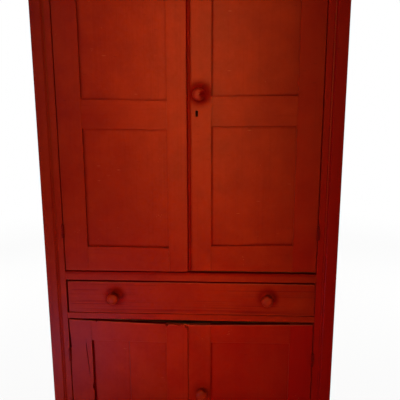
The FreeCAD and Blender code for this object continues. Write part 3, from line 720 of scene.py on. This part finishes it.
def finish_named(name):
    """A finish of the cupboard, made the first time it is asked for."""
    found = bpy.data.materials.get(name)
    if found is not None:
        return found
    s = settings_now()
    if name == "aged_pine":
        return bare_pine(s.pine)
    if name == "rusted_iron":
        return old_iron(s.iron, s.paint)
    return oxblood_paint(name, s.paint, s.pine, name == "oxblood_panels")


def give_finish(piece, finish):
    """Put a finish in every material slot of a piece."""
    if not piece.material_slots:
        piece.data.materials.append(finish)
    for slot in piece.material_slots:
        slot.material = finish


def nodes_with_slot(name):
    rows = frame["record"]["subparts"]
    return [row["node"] for row in rows if row["material_slot"] == name]


def grain_of(node):
    """The way a piece's grain runs."""
    if node in DEEP_GRAIN:
        return ALONG_Y
    if any(word in node for word in LEVEL_GRAIN) and node != "back_boards":
        return ALONG_X
    return ALONG_Z


def bare_face(node):
    """Plane behind which the brush never went, as a direction and how far along it."""
    if node in ("left_side", "right_side"):
        inwards = 1.0 if node == "left_side" else -1.0
        return (inwards, 0.0, 0.0), -SIDE_IN_X - BRUSH_EDGE
    if node.startswith("cornice"):
        return ALONG_Y, OUT_OF_REACH
    if "knob" in node:
        return ALONG_Y, FACE_Y + BRUSH_EDGE
    if "panel" in node:
        return ALONG_Y, FACE_Y + PANEL_DEPTH
    return ALONG_Y, FRAME_BACK_Y - BRUSH_EDGE


def front_corners(node):
    """A board's lower and upper edges in front, each as its heights at the left and right ends."""
    points = [v.co for v in frame["nodes"][node].data.vertices if v.co.y < FACE_Y + SAME_PLANE]
    xs = [p.x for p in points]
    ends = [[p.z for p in points if abs(p.x - x) < SAME_END] for x in (min(xs), max(xs))]
    return [min(z) for z in ends], [max(z) for z in ends]


def mark_board(piece, node, number):
    """Give a piece what its finish needs to know about it."""
    low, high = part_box(node)
    for name, (usual, special) in SHOW.items():
        piece[name] = special.get(node, usual)
    for name, check in zip(CHECK_NAMES, CHECKS.get(node, ((OUT_OF_REACH,) * 3,) * 2)):
        piece[name] = check
    piece["board"] = float(number)
    piece["grain"] = grain_of(node)
    piece["box_low"] = tuple(low)
    piece["box_high"] = tuple(high)
    piece["bare_way"], piece["bare_at"] = bare_face(node)
    piece["bead_x"], piece["bead_show"] = BEAD_AT.get(node, (OUT_OF_REACH, 0.0))
    piece["knob_at"], piece["knob_apart"] = KNOB_AT.get(node, NO_KNOB)
    piece["crown_y"] = low.y
    # Painted shadow under the upper doors, along the top of the waist rail
    piece["shelter_z"] = high.z if node == "frame_waist_rail" else OUT_OF_REACH
    # Where the painted shade and dirt in the gaps is measured from
    in_front = abs(low.y - FACE_Y) < SAME_PLANE and high.y < FRAME_BACK_Y + SAME_PLANE
    piece["face_y"] = FACE_Y if in_front and node not in PAINTED_SHUT else OUT_OF_REACH
    piece["planks"] = (0.0, 0.0, 0.0)
    if node == "back_boards":
        wide = high.x - low.x + 2.0 * PLANK_MARGIN
        piece["planks"] = (low.x - PLANK_MARGIN, BACK_COUNT / wide, 1.0)
    piece["top_edge"] = (0.0, high.z if node == "drawer_front" else OUT_OF_REACH, 0.0)
    for door in DOORS:
        if door.startswith("lower") and node.startswith(door):
            stile_low, stile_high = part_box(door + "_hinge_stile")
            start, end = front_corners(door + "_hinge_stile")[1]
            piece["top_edge"] = (stile_low.x, start, (end - start) / (stile_high.x - stile_low.x))


def mark_panel(piece, door):
    """Tell a panel where the frame of its door meets it."""
    stiles = ("_hinge_stile", "_meeting_stile")
    left, right = stiles if door.endswith("left") else reversed(stiles)
    x0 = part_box(door + left)[1].x
    x1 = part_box(door + right)[0].x

    def line(heights):
        return (heights[0], heights[1] - heights[0], 0.0)

    nowhere = (OUT_OF_REACH, OUT_OF_REACH)
    middle = front_corners(door + "_lock_rail") if door.startswith("upper") else (nowhere, nowhere)
    piece["rim_show"] = RIM_SHOW[door]
    piece["rim_x"] = (x0, x1, 1.0 / (x1 - x0))
    piece["rim_low"] = line(front_corners(door + "_bottom_rail")[1])
    piece["rim_high"] = line(front_corners(door + "_top_rail")[0])
    piece["rim_mid_low"] = line(middle[0])
    piece["rim_mid_high"] = line(middle[1])


def deselect():
    """Leave nothing selected, in object mode."""
    if bpy.context.object is not None and bpy.context.object.mode != "OBJECT":
        bpy.ops.object.mode_set(mode="OBJECT")
    bpy.ops.object.select_all(action="DESELECT")


def choose(*pieces):
    """Make some pieces the only ones selected, and the first of them active."""
    deselect()
    for piece in pieces:
        piece.select_set(True)
    bpy.context.view_layer.objects.active = pieces[0]


def edit(kind):
    """Edit the active piece with nothing selected."""
    bpy.ops.object.mode_set(mode="EDIT")
    bpy.ops.mesh.select_mode(type=kind)
    bpy.ops.mesh.select_all(action="DESELECT")
    return bmesh.from_edit_mesh(bpy.context.object.data)


def pick(shape, parts, wanted):
    """Select the faces, edges or corners that a test accepts."""
    for part in parts:
        part.select_set(wanted(part))
    shape.select_flush_mode()
    bmesh.update_edit_mesh(bpy.context.object.data)


def apply_place():
    """Put the active piece's place into its mesh, and give the piece back."""
    bpy.ops.object.transform_apply(location=True, rotation=True, scale=True)
    return bpy.context.object


def keep_place(piece, smooth=30.0):
    """Put a piece's place into its mesh, with true normals, and curves smooth up to an angle in degrees."""
    choose(piece)
    apply_place()
    edit("VERT")
    bpy.ops.mesh.select_all(action="SELECT")
    bpy.ops.mesh.remove_doubles(threshold=1e-6)
    bpy.ops.mesh.normals_make_consistent(inside=False)
    bpy.ops.object.mode_set(mode="OBJECT")
    bpy.ops.object.shade_smooth_by_angle(angle=math.radians(smooth))


def box_piece(low, high):
    """A block between two corners, ready to be shaped."""
    deselect()
    middle = [(a + b) / 2.0 for a, b in zip(low, high)]
    half = [(b - a) / 2.0 for a, b in zip(low, high)]
    bpy.ops.mesh.primitive_cube_add(size=2.0, location=middle, scale=half)
    return apply_place()


def rod(sides, radius, depth, middle=(0.0, 0.0, 0.0), turn=0.0, ends="NGON"):
    """A round bar, upright or turned about the x axis, ready to be shaped."""
    deselect()
    bpy.ops.mesh.primitive_cylinder_add(vertices=sides, radius=radius, depth=depth, end_fill_type=ends,
                                        location=middle, rotation=(turn, 0.0, 0.0))
    return apply_place()


def extrude(x, y, z):
    """Draw out what is selected."""
    bpy.ops.mesh.extrude_region_move(TRANSFORM_OT_translate={"value": (x, y, z)})


def rounded(wanted, offset, segments):
    """Round the edges of the active piece that a test accepts."""
    shape = edit("EDGE")
    pick(shape, shape.edges, wanted)
    bpy.ops.mesh.bevel(offset=offset, segments=segments, affect="EDGES")
    bpy.ops.object.mode_set(mode="OBJECT")


def past(axis, limit):
    """A test for edges that lie past a limit on an axis, 0 to 2."""
    return lambda edge: all(v.co[axis] > limit for v in edge.verts)


def with_modifier(piece, kind, **settings):
    """Add a modifier and apply it."""
    choose(piece)
    made = piece.modifiers.new(kind.lower(), kind)
    for name, value in settings.items():
        setattr(made, name, value)
    bpy.ops.object.modifier_apply(modifier=made.name)


def cut_away(piece, cutter):
    """Cut one piece out of another."""
    with_modifier(piece, "BOOLEAN", object=cutter, operation="DIFFERENCE", solver="EXACT")
    bpy.data.objects.remove(cutter)


def copy_of(piece, name, place):
    """A copy with its own mesh, put in its place by a matrix."""
    made = bpy.data.objects.new(name, piece.data.copy())
    bpy.context.scene.collection.objects.link(made)
    made.matrix_world = place
    choose(made)
    return apply_place()


def mirrored(piece, name):
    """The same piece for the other hand."""
    made = copy_of(piece, name, Matrix())
    made.scale = (-1.0, 1.0, 1.0)
    keep_place(made)
    return made


def joined(pieces, name):
    """Several meshes as one piece."""
    choose(*pieces)
    if len(pieces) > 1:
        bpy.ops.object.join()
    pieces[0].name = name
    pieces[0].data.name = name
    return pieces[0]


def set_heads(head, name, spots):
    """Copies of a screw or nail head: each spot has its place, its way out and the turn of its slot."""
    made = []
    for place, way, turn in spots:
        stand = Vector(way).to_track_quat("Z", "Y").to_matrix().to_4x4()
        made.append(copy_of(head, name, Matrix.Translation(place) @ stand @ Matrix.Rotation(turn, 4, "Z")))
    return made


def driven(head, name, spots):
    """One piece made of the copies of a screw or nail head."""
    made = joined(set_heads(head, name, spots), name)
    keep_place(made)
    return made


def slotted_screw(radius, height):
    """A screw head standing on the origin, crowned and cut for the driver."""
    head = rod(20, radius, height, (0.0, 0.0, height / 2.0))
    rounded(past(2, height * 0.9), height * 0.45, 2)
    slot_half = radius * 0.14
    blade = box_piece((-radius * 2.0, -slot_half, height * 0.5), (radius * 2.0, slot_half, height * 2.0))
    cut_away(head, blade)
    return head


def hand_over(piece, body, slot, *nodes):
    """Ride a finished piece on its body, in place of the CAD nodes that it stands for."""
    give_finish(piece, finish_named("rusted_iron" if slot == "old_iron" else "oxblood_boards"))
    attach(piece, body)
    if nodes:
        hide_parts(*nodes)


class PIESAFE_OT_painted_boards(bpy.types.Operator):
    """Paint the frame, doors, sides, cornice and drawer front"""
    bl_idname = "piesafe.painted_boards"
    bl_label = "Paint the boards"

    def execute(self, context):
        for number, node in enumerate(nodes_with_slot("oxblood_paint")):
            piece = frame["nodes"][node]
            mark_board(piece, node, number)
            is_panel = "panel" in node
            if is_panel:
                mark_panel(piece, node.rsplit("_", 1)[0])
            give_finish(piece, finish_named("oxblood_panels" if is_panel else "oxblood_boards"))
        return {"FINISHED"}


class PIESAFE_OT_bare_boards(bpy.types.Operator):
    """Age the bare boards inside and behind"""
    bl_idname = "piesafe.bare_boards"
    bl_label = "Age the bare boards"

    def execute(self, context):
        for number, node in enumerate(nodes_with_slot("bare_pine")):
            piece = frame["nodes"][node]
            mark_board(piece, node, number + 0.5)
            give_finish(piece, finish_named("aged_pine"))
        return {"FINISHED"}


class PIESAFE_OT_lock(bpy.types.Operator):
    """Rust the lock"""
    bl_idname = "piesafe.lock"
    bl_label = "Finish the lock"

    def execute(self, context):
        for node in ("lock_case", "lock_bolt"):
            # Painted shade and grease over the whole lock
            frame["nodes"][node]["greasy"] = 1.0
            give_finish(frame["nodes"][node], finish_named("rusted_iron"))
        return {"FINISHED"}


class PIESAFE_OT_knobs(bpy.types.Operator):
    """Turn the four knobs"""
    bl_idname = "piesafe.knobs"
    bl_label = "Turn the knobs"

    # Name, node, body, the board that the knob stands on, and how far across its node it stands
    knobs = (
        ("upper_door_knob", "upper_right_knob", "upper_right_door", "upper_right_meeting_stile", 0.0),
        ("drawer_left_knob", "drawer_knobs", "drawer", "drawer_front", 0.0),
        ("drawer_right_knob", "drawer_knobs", "drawer", "drawer_front", 1.0),
        ("lower_door_knob", "lower_right_turn_knob", "lower_right_latch", "lower_right_meeting_stile", 0.5))
    first_number = 60
    smooth = 50.0
    # Shares of a knob's reach and of its head's radius, and the rings in its cove and head
    cove_end = 0.50
    head_middle = 0.62
    head_rim = 0.95
    cove_steps = 8
    head_steps = 12
    # Where painted shade and dark bare wood lie in the upper knob's split, as a share of the head, and the
    # reach
    split_middle = 0.62
    split_dark_reach = 0.0070
    # The lower knob's clearance, spindle and square tang
    clearance = 0.0005
    spindle_sides = 24
    spindle_radius = 0.006
    spindle_length = 0.0230
    tang_half = 0.0042
    tang_bevel = 0.0008

    def profile(self, reach, head):
        """A turned knob's (distance out, radius) from its foot to its crown."""
        f = settings_now().fitting
        cove_end = reach * self.cove_end
        middle = reach * self.head_middle
        rim = math.acos(self.head_rim)
        steps = []
        for i in range(self.cove_steps + 1):
            t = i / self.cove_steps
            flare = (head * self.head_rim - f.knob_neck) * t ** 4
            foot = (f.knob_foot - f.knob_neck) * (1.0 - t) ** 6
            steps.append((cove_end * t, f.knob_neck + flare + foot))
        for i in range(1, self.head_steps + 1):
            a = -rim + (QUARTER_TURN + rim) * i / self.head_steps
            depth = reach - middle if a > 0.0 else (middle - cove_end) / math.sin(rim)
            steps.append((middle + depth * math.sin(a), head * math.cos(a) ** 0.86))
        return steps

    def turned(self, name, x, y, z, reach, head):
        """A knob turned on the lathe: a disc drawn out ring by ring."""
        steps = self.profile(reach, head)
        deselect()
        sides = settings_now().fitting.knob_sides
        bpy.ops.mesh.primitive_circle_add(vertices=sides, radius=steps[0][1], fill_type="NGON",
                                          location=(x, y, z), rotation=(QUARTER_TURN, 0.0, 0.0))
        piece = apply_place()
        shape = edit("FACE")
        pick(shape, shape.faces, lambda face: True)
        for (out0, r0), (out1, r1) in zip(steps, steps[1:-1]):
            extrude(0.0, out0 - out1, 0.0)
            bpy.ops.transform.resize(value=(r1 / r0,) * 3, center_override=(x, y - out1, z))
        extrude(0.0, steps[-2][0] - steps[-1][0], 0.0)
        bpy.ops.mesh.merge(type="CENTER")
        bpy.ops.object.mode_set(mode="OBJECT")
        piece.name = name
        keep_place(piece, self.smooth)
        return piece

    def split(self, knob, x, crown, z, head):
        """Break a wedge out of the right of a knob's face."""
        wedge = box_piece((x + head * 0.02, crown - 0.002, z - head * 0.52),
                          (x + head * 1.3, crown + head * 0.7, z + head * 0.46))
        shape = edit("FACE")
        pick(shape, shape.faces, lambda face: face.normal.x < -0.9)
        bpy.ops.transform.resize(value=(1.0, 0.6, 0.12), center_override=(x, crown, z))
        bpy.ops.object.mode_set(mode="OBJECT")
        cut_away(knob, wedge)
        keep_place(knob, self.smooth)

    def with_spindle(self, knob, x, start, z, end):
        """A knob with the spindle and square tang behind it."""
        half = self.tang_half
        spindle = rod(self.spindle_sides, self.spindle_radius, self.spindle_length,
                      (x, start + self.spindle_length / 2.0, z), QUARTER_TURN)
        tang = box_piece((x - half, start + self.spindle_length, z - half), (x + half, end, z + half))
        rounded(past(1, end - self.tang_bevel), self.tang_bevel, 1)
        return joined([knob, spindle, tang], knob.name)

    def execute(self, context):
        for number, (name, node, body, board, across) in enumerate(self.knobs):
            low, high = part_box(node)
            head = (high.z - low.z) / 2.0
            x = low.x + head + across * (high.x - low.x - 2.0 * head)
            z = (low.z + high.z) / 2.0
            turns = body == "lower_right_latch"
            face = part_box(board)[0].y - (self.clearance if turns else 0.0)
            piece = self.turned(name, x, face, z, face - low.y, head)
            if turns:
                piece = self.with_spindle(piece, x, face, z, high.y)
            mark_board(piece, node, self.first_number + number)
            if node == "upper_right_knob":
                self.split(piece, x, low.y, z, head)
                # Painted shade and dark bare wood in the upper knob's split
                piece["knob_at"] = (x + head * self.split_middle, self.split_dark_reach, z)
            hand_over(piece, body, "oxblood_paint", node)
        return {"FINISHED"}


class PIESAFE_OT_hinges(bpy.types.Operator):
    """Make the butt hinges: leaves, knuckles, pins and screws"""
    bl_idname = "piesafe.hinges"
    bl_label = "Make the hinges"

    half_height = 0.025
    knuckle = 0.0165
    knuckle_sides = 28
    knuckle_bevel = 0.0005
    play = 0.0003
    plate_from = 0.0050
    plate_to = 0.0246
    plate_in = 0.0005
    plate_corner = 0.0020
    neck_lap = 0.0004
    screw_height = 0.0008
    screw_sunk = 0.0006
    # Height, place across the leaf and turn of each screw
    screws = ((-0.0175, 0.002, 0.4), (0.0, -0.003, 1.3), (0.0175, 0.002, 2.2))
    pin_sides = 20
    pin_radius = 0.0020
    pin_play = 0.00004
    pin_head = 0.0033
    pin_collar = 0.00002
    # Rise and narrowing of each ring of a pin's head
    pin_rings = ((0.0009, 1.0), (0.0006, 0.82), (0.0004, 0.55))
    same = 1e-5

    def level(self, edge):
        return abs(edge.verts[0].co.z - edge.verts[1].co.z) < self.same

    def knuckle_tube(self, z0, z1):
        """One rolled knuckle round the pin."""
        barrel = settings_now().fitting.barrel
        tube = rod(self.knuckle_sides, barrel, z1 - z0, (0.0, 0.0, (z0 + z1) / 2.0), ends="NOTHING")
        with_modifier(tube, "SOLIDIFY", thickness=barrel - self.pin_radius, offset=-1.0)
        rim = barrel * 0.98

        def at_rim(edge):
            return self.level(edge) and all(v.co.xy.length > rim for v in edge.verts)

        rounded(at_rim, self.knuckle_bevel, 2)
        return tube

    def leaf(self, name, side, knuckles):
        """A leaf on one side of the pin, with its knuckles and three screws."""
        f = settings_now().fitting
        near = side * self.plate_in
        far = side * (self.plate_in + f.leaf)
        x0, x1 = sorted((near, far))
        top = self.half_height
        at_end = past(1, self.plate_to - self.same)
        parts = [box_piece((x0, self.plate_from, -top), (x1, self.plate_to, top))]
        rounded(lambda e: at_end(e) and self.level(e), self.plate_corner, 3)
        for z0, z1 in knuckles:
            neck = box_piece((x0, 0.0, z0), (x1, self.plate_from + self.neck_lap, z1))
            rounded(lambda e: all(v.co.y < self.same for v in e.verts), self.neck_lap, 1)
            parts += [self.knuckle_tube(z0, z1), neck]
        head = slotted_screw(f.screw, self.screw_height)
        middle = (self.plate_from + self.plate_to) / 2.0
        spots = [((near + side * self.screw_sunk, middle + across, z), (-side, 0.0, 0.0), turn)
                 for z, across, turn in self.screws]
        parts += set_heads(head, "leaf_screw", spots)
        bpy.data.objects.remove(head)
        made = joined(parts, name)
        keep_place(made)
        return made

    def pin(self):
        """A pin with a rounded head."""
        top = (0.0, 0.0, self.half_height)
        shaft = rod(self.pin_sides, self.pin_radius - self.pin_play, 2.0 * self.half_height)
        shape = edit("FACE")
        pick(shape, shape.faces, lambda face: face.normal.z > 0.9)
        for rise, size in ((self.pin_collar, self.pin_head / self.pin_radius),) + self.pin_rings:
            extrude(0.0, 0.0, rise)
            bpy.ops.transform.resize(value=(size, size, 1.0), center_override=top)
        bpy.ops.object.mode_set(mode="OBJECT")
        keep_place(shaft)
        return shaft

    def execute(self, context):
        barrel = settings_now().fitting.barrel
        top = self.half_height
        own = self.knuckle
        inner = top - own - self.play
        left = {"frame": self.leaf("frame_leaf", -1.0, ((-top, own - top), (top - own, top))),
                "door": self.leaf("door_leaf", 1.0, ((-inner, inner),)),
                "pin": self.pin()}
        right = {kind: mirrored(piece, piece.name) for kind, piece in left.items()}
        made = {"frame": [], "pin": []}
        for door in DOORS:
            low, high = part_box(door + "_hinge_leaves")
            is_left = door.endswith("left")
            hand = left if is_left else right
            x = low.x + barrel if is_left else high.x - barrel
            spots = [Matrix.Translation((x, low.y + barrel, z)) for z in (low.z + top, high.z - top)]
            for kind in made:
                made[kind] += [copy_of(hand[kind], kind, spot) for spot in spots]
            leaves = joined([copy_of(hand["door"], "leaf", spot) for spot in spots], door + "_leaves")
            hand_over(leaves, door + "_door", "old_iron", door + "_hinge_leaves")
        hand_over(joined(made["frame"], "frame_leaves"), "carcass", "old_iron", "frame_hinge_leaves")
        hand_over(joined(made["pin"], "loose_pins"), "carcass", "old_iron", "hinge_pins")
        for piece in (*left.values(), *right.values()):
            bpy.data.objects.remove(piece)
        return {"FINISHED"}


class PIESAFE_OT_screws(bpy.types.Operator):
    """Drive the screws of the lock and the turn buttons"""
    bl_idname = "piesafe.screws"
    bl_label = "Drive the screws"

    lock_height = 0.0014
    lock_inset = 0.008
    button_height = 0.0028
    first_turn = 0.5
    button_turn = 0.9

    def execute(self, context):
        f = settings_now().fitting
        low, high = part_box("lock_case")
        inset = self.lock_inset
        corners = [(x, z) for x in (low.x + inset, high.x - inset) for z in (low.z + inset, high.z - inset)]
        spots = [((x, high.y, z), ALONG_Y, self.first_turn + i) for i, (x, z) in enumerate(corners)]
        small = slotted_screw(f.lock_screw, self.lock_height)
        hand_over(driven(small, "lock_screws", spots), "upper_right_door", "old_iron")
        large = slotted_screw(f.button_screw, self.button_height)
        for door in ("upper_left", "lower_left"):
            low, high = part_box(door + "_turn_button")
            spot = ((low.x + high.x) / 2.0, high.y, (low.z + high.z) / 2.0)
            screw = driven(large, door + "_button_screw", [(spot, ALONG_Y, self.button_turn)])
            hand_over(screw, door + "_door", "old_iron")
        bpy.data.objects.remove(small)
        bpy.data.objects.remove(large)
        return {"FINISHED"}


class PIESAFE_OT_nails(bpy.types.Operator):
    """Nail the back boards and the ends of the shelves"""
    bl_idname = "piesafe.nails"
    bl_label = "Drive the nails"

    head_height = 0.0012
    head_bevel = 0.0005
    # How deep the heads sit in the back and in the sides, and how far they stray
    back_sunk = 0.0006
    side_sunk = 0.0009
    back_stray = 0.006
    side_stray = 0.008
    # Two nails in each back board, as shares of its width from its middle, and three along each side
    back_places = (-0.28, 0.30)
    side_places = (-0.12, 0.03, 0.19)
    # Turn of the nails in the sides, and the number that their paint takes its pattern from
    side_turn = 1.5
    side_number = 71

    def cut_nail(self):
        """The oblong head of a cut nail, standing on the origin with its long way across."""
        half = settings_now().fitting.nail
        nail = box_piece((-half, -half * 0.5, 0.0), (half, half * 0.5, self.head_height))
        rounded(past(2, self.head_height * 0.9), self.head_bevel, 1)
        return nail

    def back_spots(self, levels):
        """Two nails in each back board at each level, none of them quite in line."""
        low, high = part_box("back_boards")
        wide = (high.x - low.x) / BACK_COUNT
        for row, z in enumerate(levels):
            for board in range(BACK_COUNT):
                for off in self.back_places:
                    stray = self.back_stray * math.sin(7.3 * row + 3.1 * board + 11.0 * off)
                    x = low.x + wide * (board + 0.5 + off) + stray
                    yield (x, REAR_Y - self.back_sunk, z + 0.7 * stray), ALONG_Y, 0.1 + 20.0 * stray

    def side_spots(self, levels):
        """Three nails in each side at each level, none of them quite in line."""
        for side in (-1.0, 1.0):
            x = side * (SIDE_OUT_X - self.side_sunk)
            for row, z in enumerate(levels):
                for y in self.side_places:
                    stray = self.side_stray * math.sin(5.1 * row + 31.0 * y + side)
                    yield (x, y + stray, z + 0.4 * stray), (side, 0.0, 0.0), self.side_turn

    def execute(self, context):
        nail = self.cut_nail()
        levels = [(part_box(node)[0].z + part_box(node)[1].z) / 2.0 for node in LEVEL_BOARDS]
        hand_over(driven(nail, "back_nails", self.back_spots(levels)), "carcass", "old_iron")
        ends = driven(nail, "shelf_nails", self.side_spots(levels))
        mark_board(ends, "left_side", self.side_number)
        ends["bare_at"] = OUT_OF_REACH
        hand_over(ends, "carcass", "oxblood_paint")
        bpy.data.objects.remove(nail)
        return {"FINISHED"}


class PIESAFE_OT_stage(bpy.types.Operator):
    """Set the floor, lamps, sky and camera"""
    bl_idname = "piesafe.stage"
    bl_label = "Set the stage"

    # Width of the camera's frame in millimetres
    sensor_width = 36.0
    floor_sides = 64
    floor_radius = 40.0
    # How white the floor looks near the cupboard, and where it starts and ends turning fully white
    near_white = 0.9
    fade_from = 1.5
    fade_to = 6.0

    def seen(self, finish):
        """1 for rays that come straight from the eye, or by a mirror or glass."""
        names = ("Is Camera Ray", "Is Glossy Ray", "Is Transmission Ray")
        first, *others = [finish.add("ShaderNodeLightPath", {}, {}, name) for name in names]
        return first.most(*others)

    def floor(self):
        """A pale floor that keeps the cupboard's shadow."""
        pale = settings_now().studio.floor
        deselect()
        bpy.ops.mesh.primitive_circle_add(vertices=self.floor_sides, radius=self.floor_radius,
                                          fill_type="NGON", location=(0.0, 0.0, 0.0))
        ground = bpy.context.object
        ground.name = "studio_floor"
        m = Material("studio_floor")
        place = m.place()
        speckled = m.mix(m.noise(place, 60.0), pale, [0.97 * channel for channel in pale])
        m.set(Base_Color=speckled, Roughness=0.85, Specular_IOR_Level=0.0)
        away = m.add("ShaderNodeVectorMath", {"operation": "LENGTH"}, {0: place}, "Value")
        white = self.near_white + away.step(self.fade_from, self.fade_to) * (1.0 - self.near_white)
        glow = m.add("ShaderNodeEmission", {}, {"Color": WHITE, "Strength": 1.0})
        m.cover(self.seen(m) * white, glow)
        give_finish(ground, m.done())

    def sky(self):
        """Even light from all round, and white where it is seen."""
        world = bpy.data.worlds.new("studio_sky")
        world.use_nodes = True
        bpy.context.scene.world = world
        f = Finish(world.node_tree)
        level = settings_now().studio.sky
        strength = self.seen(f) * (1.0 - level) + level
        light = f.add("ShaderNodeBackground", {}, {"Color": WHITE, "Strength": strength})
        f.add("ShaderNodeOutputWorld", {}, {"Surface": light})

    def lamp(self, name, spot, target, size, power, tint, spread=math.pi):
        """An area lamp that points at a target."""
        way = (Vector(target) - Vector(spot)).to_track_quat("-Z", "Y")
        deselect()
        bpy.ops.object.light_add(type="AREA", location=spot, rotation=way.to_euler())
        made = bpy.context.object
        made.name = name
        made.data.shape = "RECTANGLE"
        made.data.size, made.data.size_y = size
        made.data.energy = power
        made.data.color = tint
        made.data.spread = spread
        return made

    def off_front(self):
        """What the lamps that only show in the paint of the front leave alone."""
        group = bpy.data.collections.new("off_front")
        for node in OFF_FRONT:
            group.objects.link(bpy.data.objects[node])
        for member in group.collection_objects:
            member.light_linking.link_state = "EXCLUDE"
        return group

    def lamps(self):
        """Lamps that light the cupboard, and lamps that only show in its paint."""
        s = settings_now().studio
        window = self.lamp("window", spot=(-1.5, -2.9, 0.25), target=(0.0, FACE_Y, 1.1), size=(0.7, 0.4),
                           power=s.window_power, tint=s.window)
        window.visible_glossy = False
        self.lamp("floor_glow", spot=(-0.95, -1.55, 0.06), target=(0.15, FACE_Y, 1.7), size=(0.5, 0.3),
                  power=s.glow_power, tint=s.window, spread=s.glow_spread)
        self.lamp("softbox", spot=(-0.03, -2.0, 1.6), target=(-0.03, FACE_Y, 1.28), size=(0.2, 1.8),
                  power=s.lamp_power, tint=s.lamp, spread=s.lamp_spread)
        shown = (
            self.lamp("gleam", spot=(-0.05, -2.05, 1.75), target=(-0.02, FACE_Y, 1.6), size=(0.45, 1.9),
                      power=s.gleam_power, tint=s.gleam),
            self.lamp("haze", spot=(-0.75, -1.0, 0.03), target=(-0.5, FACE_Y, 0.5), size=(0.5, 0.6),
                      power=s.haze_power, tint=s.haze),
            self.lamp("pane", spot=(-1.05, -1.5, 1.9), target=(-0.45, FACE_Y, 1.6), size=(0.4, 1.4),
                      power=s.pane_power, tint=s.haze))
        off_front = self.off_front()
        for lamp in shown:
            lamp.visible_diffuse = False
            lamp.light_linking.receiver_collection = off_front
        for name, side in (("back_left", -1.0), ("back_right", 1.0)):
            self.lamp(name, spot=(side * 2.4, 2.2, 2.0), target=(side * 0.3, REAR_Y, 1.1), size=(1.6, 1.6),
                      power=s.back_power, tint=WHITE)

    def camera(self):
        """The camera, as the settings place it."""
        s = settings_now().studio
        turn = Euler((QUARTER_TURN - s.tilt, s.roll, s.turn))
        bpy.ops.object.camera_add(location=s.camera, rotation=turn)
        eye = bpy.context.object
        eye.data.lens = s.lens
        eye.data.sensor_width = self.sensor_width
        bpy.context.scene.camera = eye

    def execute(self, context):
        self.floor()
        self.sky()
        self.lamps()
        self.camera()
        context.scene.view_settings.view_transform = "Standard"
        return {"FINISHED"}


class PIESAFE_PT_workshop(bpy.types.Panel):
    """Everything that finishes the pie safe"""
    bl_label = "Pie safe"
    bl_idname = "PIESAFE_PT_workshop"
    bl_space_type = "VIEW_3D"
    bl_region_type = "UI"
    bl_category = "Pie safe"

    def draw(self, context):
        for step in STEPS:
            self.layout.operator(step.bl_idname)
        for group in PIESAFE_Settings.__annotations__:
            box = self.layout.box()
            box.label(text=group.capitalize())
            part = getattr(context.scene.pie_safe, group)
            for name in part.__annotations__:
                box.prop(part, name)


STEPS = (PIESAFE_OT_painted_boards, PIESAFE_OT_bare_boards, PIESAFE_OT_lock, PIESAFE_OT_knobs,
         PIESAFE_OT_hinges, PIESAFE_OT_screws, PIESAFE_OT_nails, PIESAFE_OT_stage)
CLASSES = (PIESAFE_PaintSettings, PIESAFE_PineSettings, PIESAFE_IronSettings, PIESAFE_FittingSettings,
           PIESAFE_StudioSettings, PIESAFE_Settings) + STEPS + (PIESAFE_PT_workshop,)


def register():
    for item in CLASSES:
        bpy.utils.register_class(item)
    bpy.types.Scene.pie_safe = PointerProperty(type=PIESAFE_Settings)


def unregister():
    del bpy.types.Scene.pie_safe
    for item in reversed(CLASSES):
        bpy.utils.unregister_class(item)


def main():
    register()
    for step in STEPS:
        group, name = step.bl_idname.split(".")
        getattr(getattr(bpy.ops, group), name)()


if __name__ == "__main__":
    main()
